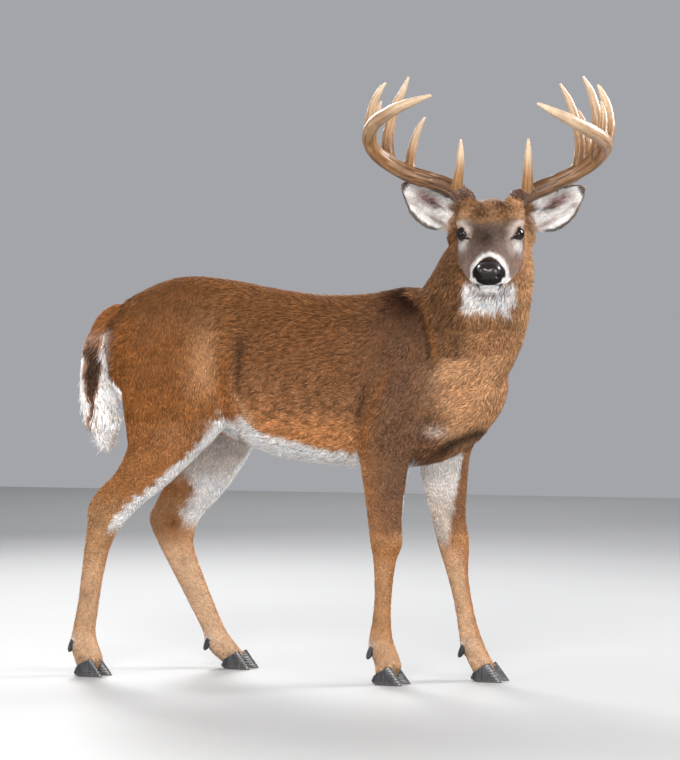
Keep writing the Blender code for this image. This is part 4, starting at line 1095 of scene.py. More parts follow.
def tuft_mesh(name, roots, normals, lies, length, width, lift, colours, unwrapped, long):
    """Closed spindles: a point in the skin, one ring of three points (two on long hair), and the tip.

    A ring's points are left, right and a ridge on top; the tip lies length along the coat and lift up.
    """
    side = np.cross(normals, lies)
    places = [roots - normals * ROOT_DEPTH]
    for share in (LONG_RINGS if long else (RING_AT,)):
        rise = lift * (1.6 * share if long else 1.25 * share)
        middle = roots + lies * (length * share)[:, None] + normals * rise[:, None]
        half = side * (width * (0.5 if share < 0.5 else 0.36))[:, None]
        places += [middle - half, middle + half, middle + normals * (width * 0.34)[:, None]]
    places.append(roots + lies * length[:, None] + normals * lift[:, None])
    each = len(places)
    last = each - 1
    faces = [(0, 2, 3), (0, 3, 1), (0, 1, 2)]
    if long:
        faces += [(2, 5, 3), (3, 5, 6), (3, 6, 1), (1, 6, 4), (1, 4, 2), (2, 4, 5)]
    faces += [(last, last - 1, last - 2), (last, last - 3, last - 1), (last, last - 2, last - 3)]
    starts = np.arange(len(roots))[:, None, None] * each
    mesh = mesh_of(name, np.stack(places, 1).reshape(-1, 3), (starts + np.array(faces)).reshape(-1, 3))
    # Each point's colour as a share of the tuft's: a darker root and paler tip, as banded hair and as painted
    # shade deep in the coat; the ring's left and right points darker than its ridge, as painted shade on the
    # tuft's sides.
    banding_and_shade = np.array([0.45] + [0.78, 0.78, 1.0] + ([0.92, 0.92, 1.04] if long else []) + [1.08])
    attribute(mesh, "coat", (colours[:, None] * banding_and_shade[:, None]).reshape(-1, 3))
    middle = [(-0.3, 0), (0.3, 0), (0, 0.05)] * (2 if long else 1)
    corner = np.array([(0, -0.5)] + middle + [(0, 0.5)]) * PATCH
    uv = (unwrapped[:, None] + corner).reshape(-1, 2)
    layer = mesh.uv_layers.new(name="OFBake")
    corners = read(mesh.loops, "vertex_index", 1, np.int32).ravel()
    layer.uv.foreach_set("vector", np.clip(uv[corners], 0, 1).astype(np.float32).ravel())
    return mesh


def coat(skin, material):
    """Tufts over the skin, in pieces by region. Each tuft's colour is that of the markings at its root
    times a tone, streaked over the body; its map is the turn round its region by the distance along it."""
    draw = np.random.default_rng(SEED)
    roots, normals = scattered(skin, draw)
    places = Places(roots)
    length, width, lift, _ = coat_of(roots, normals, places)
    keep = (length > SHORTEST) & (roots[:, 2] > BARE_BELOW)
    colours = markings(roots, normals, places)
    bright = colours.mean(1)
    low = places.within("foreleg", "hindleg", "skull") & (roots[:, 2] < 0.56) | places.within("skull")
    tone = np.exp(draw.normal(0, TONE_SPREAD, len(roots)) * np.where((bright > 0.4) | low, 0.45, 1.0))
    tone *= np.where((draw.uniform(size=len(roots)) < DARK_TUFTS) & (bright < 0.25) & ~low, DARK_TONE, 1.06)
    combed = roots * STREAK_STRETCH
    streak = waves(combed, STREAKS[0], 21) + 0.6 * waves(combed, STREAKS[1], 22)
    body = places.within("trunk", "neck") & (bright < 0.5)
    tone *= np.exp(streak * np.where(body, 0.36, 0.1) + np.where(body, 0.05, 0))
    tone = np.clip(tone, 0.35, 1.36)
    warm = draw.normal(0, WARMTH_SPREAD, len(roots))
    colours = colours * tone[:, None] * (1 + warm[:, None] * np.array((1.0, 0.0, -1.0)))
    length = length * np.exp(draw.normal(0, LENGTH_SPREAD, len(roots)))
    lift = lift * np.exp(draw.normal(0, LIFT_SPREAD, len(roots)))
    width = width * np.exp(draw.normal(0, WIDTH_SPREAD, len(roots)))
    stray = draw.normal(0, STRAY, len(roots)) + 0.35 * waves(roots, 0.05, 9)
    lies = unit(places.lie - normals * (places.lie * normals).sum(1, keepdims=True))
    lies = unit(lies + np.cross(normals, lies) * stray[:, None])
    right = roots[:, 1] < spine_y(roots[:, 0])
    ahead = roots[:, 0] > TRUNK_PARTED_AT
    trunk_in = places.within("trunk")
    sorts = {f"coat_trunk_{hand}_{end}": trunk_in & (right == (hand == "right")) & (ahead == (end == "front"))
             for hand in ("right", "left") for end in ("front", "back")}
    sorts |= {f"coat_{name}": places.within(name) for name in ("neck", *LEGS, "tail")}
    sorts["coat_head"] = places.within("skull")
    sorts["coat_ears"] = places.within("ear")
    for name, inside in sorts.items():
        picked = np.flatnonzero(inside & keep)
        flat = np.stack([places.turn[picked] / (2 * math.pi) + 0.5, places.along[picked]], 1)
        if name == "coat_ears":
            flat[:, 0] = (flat[:, 0] + (places.region[picked] == REGIONS.index("ear_left"))) / 2
        low, high = flat.min(0), flat.max(0)
        unwrapped = MAP_MARGIN + (1 - 2 * MAP_MARGIN) * (flat - low) / (high - low)
        values = (v[picked] for v in (roots, normals, lies, length, width, lift, colours))
        piece(name, tuft_mesh(name, *values, unwrapped, name == "coat_tail"), material)


# ---- antlers ------------------------------------------------------------------------------------

# Each antler: the beam's stations, then each tine's, in tenths of a millimetre from the eyes' middle:
# (to its own side, up, forward, radius).
ANTLERS = {
    "right": [tenths(branch) for branch in (
        [(520, 660, -620, 200), (600, 880, -640, 215), (840, 1130, -750, 205), (1180, 1300, -900, 200),
         (1620, 1430, -1000, 200), (2070, 1590, -980, 200), (2460, 1810, -800, 190),
         (2760, 2060, -450, 180), (2840, 2360, 0, 175), (2680, 2610, 500, 165), (2340, 2790, 980, 145),
         (1900, 2950, 1380, 115), (1310, 3110, 1700, 45)],
        [(800, 1060, -740, 150), (790, 1300, -560, 130), (730, 1680, -400, 105), (710, 2020, -300, 75),
         (705, 2310, -250, 30)],
        [(1920, 1500, -980, 150), (1940, 1780, -1050, 130), (1890, 2170, -1100, 110),
         (1760, 2570, -1080, 80), (1580, 2900, -1000, 32)],
        [(2440, 1800, -800, 170), (2470, 2150, -880, 150), (2430, 2620, -950, 130),
         (2280, 3150, -900, 105), (2090, 3520, -800, 75), (1950, 3830, -680, 32)],
        [(2820, 2220, -180, 150), (2860, 2550, -260, 130), (2810, 3000, -320, 110), (2660, 3380, -300, 80),
         (2460, 3650, -250, 32)],
        [(2740, 2500, 220, 110), (2670, 2850, 100, 80), (2550, 3180, 40, 28)])],
    "left": [tenths(branch) for branch in (
        [(520, 660, -620, 200), (620, 860, -640, 215), (840, 1010, -750, 205), (1120, 1140, -880, 195),
         (1500, 1310, -980, 190), (1950, 1520, -980, 185), (2330, 1740, -820, 180),
         (2600, 1960, -450, 175), (2660, 2130, 0, 175), (2520, 2260, 500, 170), (2180, 2420, 980, 155),
         (1700, 2630, 1400, 125), (1100, 2900, 1720, 45)],
        [(840, 1000, -740, 160), (860, 1280, -560, 135), (870, 1680, -400, 110), (880, 2020, -300, 75),
         (880, 2300, -250, 30)],
        [(2030, 1580, -960, 150), (2100, 2140, -1040, 130), (2060, 2520, -1060, 125),
         (1960, 2920, -1040, 110), (1810, 3320, -980, 85), (1620, 3650, -880, 35)],
        [(2240, 1680, -1120, 120), (2280, 2320, -1320, 100), (2170, 2800, -1360, 75),
         (2040, 3100, -1320, 28)],
        [(2460, 1860, -620, 160), (2520, 2460, -780, 140), (2470, 3000, -820, 120), (2340, 3450, -760, 90),
         (2160, 3790, -640, 35)],
        [(2660, 2060, -140, 150), (2770, 2550, -240, 135), (2710, 3050, -280, 110), (2600, 3340, -260, 80),
         (2490, 3550, -220, 32)],
        [(2600, 2220, 260, 110), (2630, 2760, 160, 85), (2570, 3140, 100, 28)])],
}
ANTLER_VOXEL = 0.0022
BURR_AT, BURR_WIDTH, BURR_HEIGHT = 0.024, 0.0075, 0.005


def antler_path(side, stations, count):
    rows = spread(stations, count)
    rows[:, 0] *= side
    return EYES_MIDDLE + rows[:, :3] @ np.stack([HEAD_SIDE, (0, 0, 1), FACING]), rows[:, 3]


def antler_mesh(side, branches):
    """Round tubes joined by a fine remesh, then grooved along their length, beaded and burred at the base.

    Round each branch the surface stands out by a sum of waves in the turn, which wander slowly along it.
    """
    tubes = []
    for i, stations in enumerate(branches):
        path, radius = antler_path(side, stations, 70 if i == 0 else 30)
        across, up = carried_frames(path, FACING)
        tubes.append(tube(ovals(path, across, up, radius, radius, points=24)))
    mesh = modified(mesh_of("antler", *joined(*tubes)),
                    ("REMESH", {"mode": "VOXEL", "voxel_size": ANTLER_VOXEL}),
                    ("SMOOTH", {"factor": 0.5, "iterations": 9}))
    points, normals = points_of(mesh), normals_of(mesh)
    best = np.full(len(points), 9.0)
    turn, run, share = (np.zeros(len(points)) for _ in range(3))
    for i, stations in enumerate(branches):
        path, radius = antler_path(side, stations, 140 if i == 0 else 50)
        near, score, _, round_it = nearest(points, path, radius, *carried_frames(path, FACING))
        length = run_along(path)
        better = score < best
        best = np.where(better, score, best)
        turn = np.where(better, round_it, turn)
        run = np.where(better, length[near] + 0.5 * i, run)
        mine = length[near] / length[-1]
        share = np.where(better, mine if i == 0 else 0.35 + 0.65 * mine, share)
    base = step(share, 0.75, 0.05)
    drift = 0.9 * np.sin(run * 31) + 0.6 * np.sin(run * 67 + 1)
    grooves = (np.sin(7 * turn + drift) + 0.7 * np.sin(12 * turn - 1.6 * drift + 2)
               + 0.5 * np.sin(19 * turn + drift))
    beads = waves(points, 0.007, 12) * step(share, 0.22, 0.02)
    lumps = waves(points, 0.03, 13)
    burr = ridge(run - BURR_AT, BURR_WIDTH) * BURR_HEIGHT * (0.75 + 0.35 * np.sin(13 * turn))
    rise = 0.00055 * grooves * (0.22 + base) + 0.0009 * beads + 0.0007 * lumps * (0.3 + base) + burr
    move_points(mesh, points + normals * rise[:, None])
    attribute(mesh, "share", share)
    attribute(mesh, "groove", 0.5 + 0.22 * grooves)
    return mesh


# ---- hooves, eyes and nose ----------------------------------------------------------------------

def claw(foot, inner):
    """One half of a cloven hoof: ovals drawn out to a point at the toe, stacked from the sole to the
    sloping crown, each a little smaller, with fine growth rings and an edge rounded at the sole."""
    x, y, turn = foot
    around = np.linspace(0, 2 * math.pi, 56, endpoint=False)
    c, s = np.cos(around), np.sin(around)
    share = np.concatenate([[0.0, 0.012, 0.04], np.linspace(0.08, 1.0, 26)])
    swell = np.concatenate([[0.955, 0.988, 1.0], np.ones(26)])
    swell += 0.012 * np.sin(share * 44) * step(share, 0.05, 0.2)
    toe = CLAW_TOE * (1 - 0.62 * share) * swell
    heel = CLAW_HEEL * (1 - 0.18 * share) * swell
    half = CLAW_HALF_WIDTH * (1 - 0.1 * share) * swell
    long = np.where(c > 0, toe[:, None] * c, heel[:, None] * c)
    wide = half[:, None] * s * (1 - 0.42 * np.clip(c, 0, 1))
    crown = CLAW_HEIGHT + 0.59 * (long[-1] - toe[-1])
    sole = 0.008 * np.clip(-c, 0, 1)**2
    up = sole + share[:, None] * (crown - sole)
    wide = wide + inner * (CLAW_SPREAD + 0.006 * np.clip(long / CLAW_TOE, 0, 1))
    cos, sin = math.cos(turn), math.sin(turn)
    return tube(np.stack([x + long * cos - wide * sin, y + long * sin + wide * cos, up], -1))


def dewclaw(foot, inner):
    """A small blunt cone behind the fetlock, pointing down and back, ringed along its length."""
    x, y, turn, height = foot
    across = np.array([-math.sin(turn), math.cos(turn), 0])
    start = np.array([x, y, height]) + across * inner * 0.02
    slope = np.array([-0.015 * math.cos(turn), -0.015 * math.sin(turn), -0.03])
    steps = spread([(0.0, 0.0076), (0.4, 0.0082), (0.75, 0.0066), (0.93, 0.004), (1.0, 0.0018)], 20)
    path = start + np.outer(steps[:, 0], slope)
    side, up = frames(path, across)
    return tube(ovals(path, side, up, steps[:, 1], steps[:, 1], points=24))


def ball(centre, axes, radius_of, rings, points):
    """A closed round surface: along each direction from the centre, the distance that radius_of gives.

    Directions run by angle from the first axis, 0 to pi, and by turn round it; radius_of takes both.
    """
    swing = np.linspace(0.02, math.pi - 0.02, rings)[:, None]
    turn = np.linspace(0, 2 * math.pi, points, endpoint=False)[None]
    directions = np.stack(np.broadcast_arrays(np.cos(swing) + 0 * turn, np.sin(swing) * np.cos(turn),
                                              np.sin(swing) * np.sin(turn)), -1)
    return tube(np.array(centre) + (directions * radius_of(swing, turn)) @ np.array(axes))


def eyeball(side):
    """A sphere with the cornea's shallow dome, and masks for the iris and the level pupil."""
    look, front, up = eye_axes(side)

    def radius_of(swing, turn):
        return (EYE_RADIUS * (1 + 0.045 * ridge(swing, 0.5)) + 0 * turn)[..., None]

    points, quads = ball(eye_centre(side), (look, front, up), radius_of, 64, 64)
    mesh = mesh_of("eye", points, quads)
    d = unit(points - eye_centre(side))
    wide, tall = d @ front, d @ up
    attribute(mesh, "iris", step(np.hypot(wide, tall), 0.8, 0.7) * step(d @ look, 0.0, 0.1))
    attribute(mesh, "pupil", step(np.hypot(wide / 0.46, tall / 0.24), 1.08, 0.92) * step(d @ look, 0.0, 0.1))
    return mesh


def eyelids(side):
    """The lids: an almond ring carried round the eye. Its profile starts on the ball, rolls up over the
    lid's edge and runs out and down into the skin."""
    look, front, up = eye_axes(side)
    turn = np.linspace(0, 2 * math.pi, 96, endpoint=False)[None]
    profile = np.array([(0.9, -0.0006), (0.93, 0.0004), (0.97, 0.0015), (1.02, 0.0023), (1.09, 0.0027),
                        (1.18, 0.0024), (1.3, 0.0018), (1.44, 0.0006), (1.6, -0.0018), (1.6, -0.0045),
                        (1.2, -0.0035), (0.92, -0.003)])
    ratio, lift = profile[:, :1], profile[:, 1:]
    wide = np.where(np.cos(turn) > 0, LID_FRONT, LID_BACK)
    tall = np.where(np.sin(turn) > 0, LID_UP, LID_DOWN)
    power = 2 / LID_POWER
    along = wide * np.sign(np.cos(turn)) * np.abs(np.cos(turn))**power * ratio
    high = tall * np.sign(np.sin(turn)) * np.abs(np.sin(turn))**power * ratio
    direction = unit(look + front * np.tan(np.clip(along, -1.4, 1.4))[..., None]
                     + up * np.tan(np.clip(high, -1.4, 1.4))[..., None])
    fold = 0.0007 * np.sin(turn) * ridge(ratio - 1.3, 0.1)
    rings = eye_centre(side) + direction * (EYE_RADIUS + lift - fold)[..., None]
    points, quads = ring_closed(rings)
    return mesh_of("lids", points, quads)


def ring_closed(grid):
    """(points, quads) of a surface closed both ways, its faces outwards, from a grid of points."""
    rows, columns = grid.shape[:2]
    i, j = np.meshgrid(np.arange(rows), np.arange(columns), indexing="ij")
    i2, j2 = (i + 1) % rows, (j + 1) % columns
    quads = np.stack([i * columns + j, i * columns + j2, i2 * columns + j2, i2 * columns + j], -1)
    quads = quads.reshape(-1, 4)
    return outwards(grid.reshape(-1, 3), quads, grid.mean((0, 1)))


def nose_pad():
    """The bare nose: a squarish ellipsoid with a nostril curling into each side and a groove below, and a
    mask for painted shade in the nostrils and on the lower half.
    """
    low, high = (np.array(corner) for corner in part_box("nose"))
    centre = (low + high) / 2 - SHIFT

    def radius_of(swing, turn):
        x, y, z = np.cos(swing) + 0 * turn, np.sin(swing) * np.cos(turn), np.sin(swing) * np.sin(turn)
        wide = 0.0285 * (1 - 0.24 * np.clip(-z, 0, 1)**1.5)
        size = ((np.abs(x) / 0.022)**2.5 + (np.abs(y) / wide)**2.5 + (np.abs(z) / 0.0245)**2.5)**(-1 / 2.5)
        spot = np.stack([x, np.abs(y), z], -1) * size[..., None]
        dent = 0.0085 * hill(spot, (0.013, 0.0235, -0.001), (0.016, 0.0058, 0.0052))
        dent += 0.0045 * hill(spot, (0.006, 0.027, 0.006), (0.012, 0.006, 0.003))
        dent += 0.0016 * np.exp(-(y * size / 0.0016)**2) * step(z, 0.15, -0.25) * step(x, 0.0, 0.3)
        dent += 0.0026 * hill(spot, (0.016, 0.0, 0.0245), (0.02, 0.0075, 0.006))
        rim = 0.0013 * hill(spot, (0.016, 0.016, 0.007), (0.012, 0.006, 0.005))
        return (size - dent + rim)[..., None]

    mesh = mesh_of("nose", *ball(centre, (FACE_LINE, HEAD_SIDE, BROW_UP), radius_of, 110, 120))
    spot = (points_of(mesh) - centre) @ np.stack([FACE_LINE, HEAD_SIDE, BROW_UP], 1)
    spot[:, 1] = np.abs(spot[:, 1])
    pits = hill(spot, (0.01, 0.0235, -0.0005), (0.018, 0.007, 0.006)) * 1.3
    # a mask of painted shade: the nostrils and the pad's lower half, darker in colour
    attribute(mesh, "shaded_nostrils_and_underside", np.clip(np.maximum(pits, step(spot[:, 2], 0.001, -0.009)), 0, 1))
    return mesh


# ---- shader groups and materials ----------------------------------------------------------------

class Tree:
    """A node tree with short ways to add nodes: each takes {input: value or socket} and settings."""

    def __init__(self, tree):
        self.tree = tree

    def feed(self, node, key, value):
        """Links the value to a node's input, or sets it there if it is a number or a colour."""
        if isinstance(value, bpy.types.NodeSocket):
            self.tree.links.new(value, node.inputs[key])
        else:
            node.inputs[key].default_value = value

    def add(self, kind, inputs=(), **settings):
        node = self.tree.nodes.new(kind)
        for key, value in settings.items():
            setattr(node, key, value)
        for key, value in dict(inputs).items():
            self.feed(node, key, value)
        return node

    def math(self, operation, a, b=0.0, c=0.0, clamp=False):
        return self.add("ShaderNodeMath", {0: a, 1: b, 2: c}, operation=operation, use_clamp=clamp).outputs[0]

    def mix(self, share, a, b, blend="MIX"):
        node = self.tree.nodes.new("ShaderNodeMix")
        node.data_type, node.blend_type = "RGBA", blend
        for key, value in ((0, share), (6, a), (7, b)):
            self.feed(node, key, (*value, 1.0) if isinstance(value, tuple) else value)
        return node.outputs[2]

    def noise(self, vector, scale, detail=3.0, roughness=0.55, distortion=0.0):
        given = {"Vector": vector, "Scale": scale, "Detail": detail, "Roughness": roughness}
        return self.add("ShaderNodeTexNoise", {**given, "Distortion": distortion}).outputs["Fac"]

    def ramp(self, value, low, high):
        return self.add("ShaderNodeMapRange", {"Value": value, "From Min": low, "From Max": high}).outputs[0]

    def stored(self, name, output):
        return self.add("ShaderNodeAttribute", attribute_name=name).outputs[output]

    def object_place(self):
        return self.add("ShaderNodeTexCoord").outputs["Object"]

    def stretched(self, vector, scale):
        return self.add("ShaderNodeMapping", {"Vector": vector, "Scale": scale}).outputs[0]


def shader_group(name, inputs, outputs):
    """A new shader group with these sockets, as (Tree, its inputs, its output node)."""
    group = bpy.data.node_groups.new(name, "ShaderNodeTree")
    for label, kind, value in inputs:
        socket = group.interface.new_socket(label, in_out="INPUT", socket_type=kind)
        if value is not None:
            socket.default_value = value
    for label, kind in outputs:
        group.interface.new_socket(label, in_out="OUTPUT", socket_type=kind)
    tree = Tree(group)
    given = tree.add("NodeGroupInput").outputs
    return tree, given, tree.add("NodeGroupOutput")


def speckle_group():
    """Breaks a colour up: broad soft clouds and fine flecks, each of its own strength; gives a height too."""
    tree, given, out = shader_group(
        "Speckle",
        [("Vector", "NodeSocketVector", None), ("Color", "NodeSocketColor", (0.5, 0.5, 0.5, 1)),
         ("Cloud Scale", "NodeSocketFloat", 9.0), ("Cloud Strength", "NodeSocketFloat", 0.2),
         ("Fleck Scale", "NodeSocketFloat", 260.0), ("Fleck Strength", "NodeSocketFloat", 0.3)],
        [("Color", "NodeSocketColor"), ("Height", "NodeSocketFloat")])
    cloud = tree.noise(given["Vector"], given["Cloud Scale"], 3.0)
    fleck = tree.noise(given["Vector"], given["Fleck Scale"], 2.0, 0.6)
    gain = tree.math("MULTIPLY_ADD", tree.math("SUBTRACT", cloud, 0.5), given["Cloud Strength"], 1.0)
    gain = tree.math("MULTIPLY", gain, tree.math("MULTIPLY_ADD", tree.math("SUBTRACT", fleck, 0.5),
                                                 given["Fleck Strength"], 1.0))
    scaled = tree.add("ShaderNodeVectorMath", {0: given["Color"], "Scale": gain}, operation="SCALE")
    tree.feed(out, "Color", scaled.outputs[0])
    tree.feed(out, "Height", fleck)
    return tree.tree


def material_of(name, **constants):
    """A new material: its Tree and its Principled BSDF, with constants set on the shader's sockets."""
    material = bpy.data.materials.new(name)
    material.use_nodes = True
    tree = Tree(material.node_tree)
    shader = material.node_tree.nodes["Principled BSDF"]
    for key, value in constants.items():
        shader.inputs[key.replace("_", " ")].default_value = value
    return material, tree, shader


def speckled(tree, group, colour, place, clouds, flecks):
    """Places the speckle group, clouds and flecks being (scale, strength)."""
    node = tree.add("ShaderNodeGroup", node_tree=group)
    tree.feed(node, "Color", colour)
    tree.feed(node, "Vector", place)
    for label, (scale, strength) in (("Cloud", clouds), ("Fleck", flecks)):
        node.inputs[f"{label} Scale"].default_value = scale
        node.inputs[f"{label} Strength"].default_value = strength
    return node.outputs["Color"], node.outputs["Height"]


def finished(tree, shader, colour, uneven, gain, base):
    """Feeds the colour, and a roughness of base plus gain times the uneven value."""
    tree.feed(shader, "Base Color", colour)
    tree.feed(shader, "Roughness", tree.math("MULTIPLY_ADD", uneven, gain, base))


def bumped(tree, shader, height, distance, strength=1.0):
    bump = tree.add("ShaderNodeBump", {"Height": height, "Distance": distance, "Strength": strength})
    tree.feed(shader, "Normal", bump.outputs[0])


def coat_material(speckle):
    """Hair: the tuft's own colour with faint clouds and flecks over it, dry and a little glossy."""
    material, tree, shader = material_of("coat_hair", Specular_IOR_Level=0.09)
    hair, place = tree.stored("coat", "Color"), tree.object_place()
    colour, fleck = speckled(tree, speckle, hair, place, (14, 0.25), (420, 0.3))
    finished(tree, shader, colour, fleck, 0.2, 0.52)
    return material


def skin_material(speckle):
    """Hide under the hair: the same markings, darker, with short-fur bump drawn out along the body."""
    material, tree, shader = material_of("hide", Specular_IOR_Level=0.1)
    place = tree.object_place()
    colour, fleck = speckled(tree, speckle, tree.stored("coat", "Color"), place, (14, 0.25), (300, 0.45))
    combed = tree.stretched(place, (0.25, 1.0, 0.55))
    hair = tree.noise(combed, 520, 2.0, 0.6, 0.4)
    finished(tree, shader, colour, hair, 0.25, 0.6)
    bumped(tree, shader, tree.math("ADD", hair, fleck), 0.0008, 0.7)
    return material


def antler_material(speckle):
    """Bone stained dark at the base and in its grooves, ivory at the tips, lightly polished."""
    material, tree, shader = material_of("antler_bone", Specular_IOR_Level=0.5)
    place = tree.object_place()
    share = tree.math("ADD", tree.stored("share", "Fac"),
                      tree.math("MULTIPLY", tree.math("SUBTRACT", tree.noise(place, 22, 3.0), 0.5), 0.35))
    colour = tree.mix(tree.ramp(share, 0.05, 0.55), (0.075, 0.03, 0.01), (0.29, 0.145, 0.056))
    colour = tree.mix(tree.ramp(share, 0.55, 1.0), colour, (0.56, 0.42, 0.285))
    groove = tree.ramp(tree.stored("groove", "Fac"), 0.55, 0.15)
    stain = tree.math("MULTIPLY", groove, tree.ramp(share, 1.1, 0.1))
    colour = tree.mix(stain, colour, (0.03, 0.012, 0.006))
    colour, fleck = speckled(tree, speckle, colour, place, (40, 0.6), (420, 0.4))
    finished(tree, shader, colour, fleck, 0.3, 0.25)
    pits = tree.math("ADD", tree.noise(place, 240, 3.0, 0.6), tree.math("MULTIPLY", fleck, 0.5))
    bumped(tree, shader, pits, 0.0007, 0.6)
    return material


def hoof_material(speckle):
    """Slate-grey horn with pale streaks down its wall and dust at the sole."""
    material, tree, shader = material_of("hoof_horn", Specular_IOR_Level=0.5, Coat_Roughness=0.25,
                                         Coat_Weight=0.25)
    place = tree.object_place()
    streaks = tree.noise(tree.stretched(place, (1.0, 1.0, 0.12)), 210, 3.0)
    colour = tree.mix(tree.ramp(streaks, 0.5, 0.72), (0.014, 0.015, 0.019), (0.06, 0.058, 0.06))
    height = tree.add("ShaderNodeSeparateXYZ", {0: place}).outputs[2]
    dust = tree.math("MULTIPLY", tree.ramp(height, 0.01, 0.0), 0.45)
    colour = tree.mix(dust, colour, (0.1, 0.085, 0.07))
    colour, _ = speckled(tree, speckle, colour, place, (60, 0.4), (500, 0.3))
    finished(tree, shader, colour, streaks, 0.35, 0.16)
    rings = tree.noise(tree.stretched(place, (0.2, 0.2, 1.0)), 260, 2.0)
    bumped(tree, shader, tree.math("ADD", rings, streaks), 0.0005, 0.5)
    return material


def eye_material():
    """Deep brown iris with fine spokes round a level black pupil, wet and clear."""
    material, tree, shader = material_of("eye_wet", Roughness=0.05, Specular_IOR_Level=0.3)
    spokes = tree.noise(tree.object_place(), 900, 3.0)
    iris = tree.mix(spokes, (0.006, 0.003, 0.002), (0.022, 0.009, 0.004))
    colour = tree.mix(tree.stored("iris", "Fac"), (0.008, 0.005, 0.004), iris)
    colour = tree.mix(tree.stored("pupil", "Fac"), colour, (0.002, 0.002, 0.003))
    tree.feed(shader, "Base Color", colour)
    return material


def wet_skin_material(name, speckle, colour, roughness, specular):
    """Bare black skin in small pebbles, moist, so that its highlights break up; on the nose, painted shade in
    the nostrils and on the lower half.
    """
    material, tree, shader = material_of(name, Specular_IOR_Level=specular, Coat_Roughness=0.15)
    place = tree.object_place()
    pebbles = tree.add("ShaderNodeTexVoronoi", {"Vector": place, "Scale": 620.0}).outputs["Distance"]
    base = tree.mix(pebbles, colour, tuple(1.8 * x for x in colour))
    # painted shade: darker in the nose's nostrils and on its lower half, where the mask says
    base = tree.mix(tree.stored("shaded_nostrils_and_underside", "Fac"), base, (0.004, 0.0015, 0.0015))
    base, fleck = speckled(tree, speckle, base, place, (90, 0.5), (600, 0.3))
    tree.feed(shader, "Base Color", base)
    rough = tree.math("MULTIPLY_ADD", fleck, 0.25, roughness)
    rough = tree.math("MULTIPLY_ADD", tree.stored("shaded_nostrils_and_underside", "Fac"), 0.45, rough, clamp=True)
    tree.feed(shader, "Roughness", rough)
    wet = tree.math("MULTIPLY_ADD", tree.stored("shaded_nostrils_and_underside", "Fac"), -2.2 * specular, 2.2 * specular, clamp=True)
    tree.feed(shader, "Coat Weight", wet)
    bumped(tree, shader, tree.math("MULTIPLY", pebbles, -1.0), 0.0005, 0.6)
    return material


# ---- floor, light and camera --------------------------------------------------------------------

FLOOR_HALF = 9.0
CAMERA_PLACE = (2.06582, -5.63069, 0.75)
CAMERA_TURN, CAMERA_DIP, CAMERA_LENS = 20.0, 0.1617, 117.47


def floor():
    """A level sheet of square tiles, faintly clouded."""
    s = np.linspace(-FLOOR_HALF, FLOOR_HALF, 13)
    x, y = np.meshgrid(s, s, indexing="ij")
    i, j = (k.ravel() for k in np.meshgrid(np.arange(12), np.arange(12), indexing="ij"))
    quads = np.stack([i * 13 + j, (i + 1) * 13 + j, (i + 1) * 13 + j + 1, i * 13 + j + 1], 1)
    mesh = mesh_of("floor", np.stack([x, y, 0 * x], -1).reshape(-1, 3), quads)
    material, tree, shader = material_of("floor_pale")
    cloud = tree.noise(tree.object_place(), 1.2, 3.0)
    finished(tree, shader, tree.mix(cloud, (0.34, 0.34, 0.34), (0.38, 0.38, 0.38)), cloud, 0.1, 0.55)
    mesh.materials.append(material)
    in_scene("floor", mesh)


def soft_light(name, place, target, size, power, colour=(1.0, 1.0, 1.0)):
    light = bpy.data.lights.new(name, "AREA")
    light.shape, light.size, light.energy, light.color = "DISK", size, power, colour
    obj = in_scene(name, light)
    obj.location = place
    direction = np.array(target, float) - np.array(place, float)
    obj.rotation_euler = (math.acos(-direction[2] / np.linalg.norm(direction)), 0,
                          math.atan2(direction[1], direction[0]) - math.pi / 2)


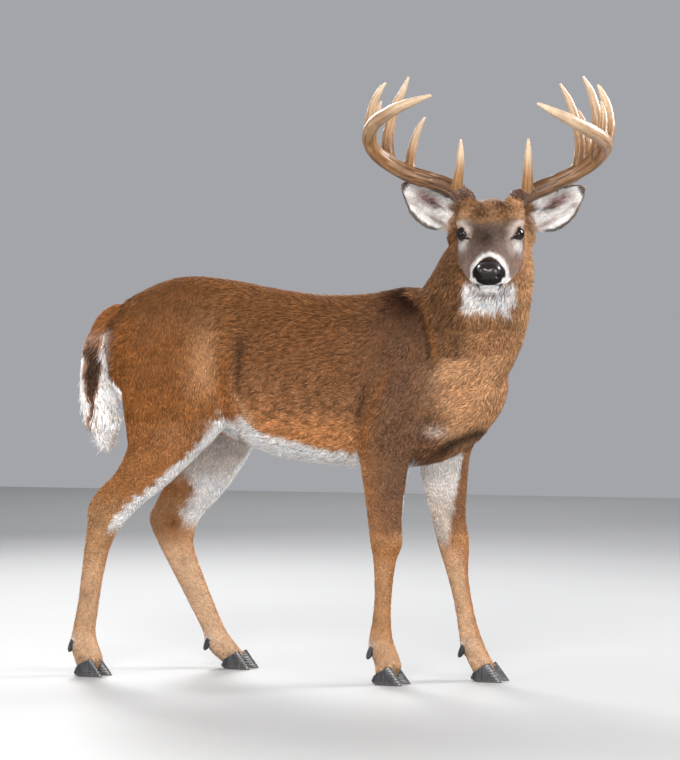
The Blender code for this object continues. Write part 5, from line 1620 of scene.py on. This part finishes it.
def studio():
    """A pale surround, a broad key from the front left with three weaker lights round it, one on the far
    floor, and two from behind that draw the outline."""
    world = bpy.data.worlds.new("studio")
    world.use_nodes = True
    background = world.node_tree.nodes["Background"]
    background.inputs["Color"].default_value = (0.92, 0.94, 1.0, 1)
    background.inputs["Strength"].default_value = 0.4
    bpy.context.scene.world = world
    bpy.context.scene.view_settings.view_transform = "Standard"
    soft_light("key", (0.9, -4.8, 3.2), (0, 0, 0.8), 2.0, 255, (1.0, 0.97, 0.93))
    soft_light("fill", (4.2, -2.6, 1.6), (0.2, 0, 0.8), 2.4, 135)
    soft_light("side", (-3.2, -3.6, 2.0), (-0.2, 0, 0.8), 2.4, 75)
    soft_light("low", (2.0, -5.4, 0.5), (0.2, 0, 0.8), 1.8, 50)
    soft_light("far", (-2.0, 7.0, 4.5), (-2.4, 6.6, 0), 4.0, 120)
    soft_light("rim_left", (-2.6, 3.0, 3.2), (0, 0, 0.9), 1.6, 210)
    soft_light("rim_right", (3.0, 2.4, 2.8), (0.2, 0, 0.9), 1.6, 210)


def camera():
    lens = bpy.data.cameras.new("camera")
    lens.lens, lens.sensor_width, lens.clip_end = CAMERA_LENS, 36.0, 60.0
    obj = in_scene("camera", lens)
    obj.location = CAMERA_PLACE
    obj.rotation_euler = (math.radians(90 - CAMERA_DIP), 0, math.radians(CAMERA_TURN))
    bpy.context.scene.camera = obj


# ---- the whole buck -----------------------------------------------------------------------------

def build():
    flesh = [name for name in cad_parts
             if name.startswith(("trunk", "neck", "head", "tail", "ear_", "foreleg", "hindleg"))]
    speckle = speckle_group()
    hide = skin_mesh()
    points, normals = points_of(hide), normals_of(hide)
    attribute(hide, "coat", markings(points, normals, Places(points)) * SKIN_SHADE)
    coat(hide, coat_material(speckle))
    piece("skin", hide, skin_material(speckle), flesh)

    bone = antler_material(speckle)
    for label, side in SIDES:
        nodes = [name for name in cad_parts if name.startswith(f"antler_{label}")]
        piece(f"antler_whole_{label}", antler_mesh(side, ANTLERS[label]), bone, nodes)
    horn = hoof_material(speckle)
    for leg_name, (foot, dewclaws) in FEET.items():
        for label, inner in (("outer", -1), ("inner", 1)):
            inner = -inner if leg_name.endswith("left") else inner
            piece(f"claw_{leg_name}_{label}", mesh_of("claw", *claw(foot, inner)), horn,
                  [f"hoof_{leg_name}_{label}"])
            piece(f"spur_{leg_name}_{label}", mesh_of("spur", *dewclaw(dewclaws, inner)), horn,
                  [f"dewclaw_{leg_name}_{label}"])
    wet, lid_skin = eye_material(), wet_skin_material("lid_skin", speckle, (0.006, 0.004, 0.004), 0.5, 0.15)
    for label, side in SIDES:
        piece(f"eyeball_{label}", eyeball(side), wet, [f"eye_{label}"])
        piece(f"eyelids_{label}", eyelids(side), lid_skin)
    nose_skin = wet_skin_material("nose_skin", speckle, (0.005, 0.0025, 0.0025), 0.22, 0.22)
    piece("nose_pad", nose_pad(), nose_skin, ["nose"])


build()
floor()
studio()
camera()
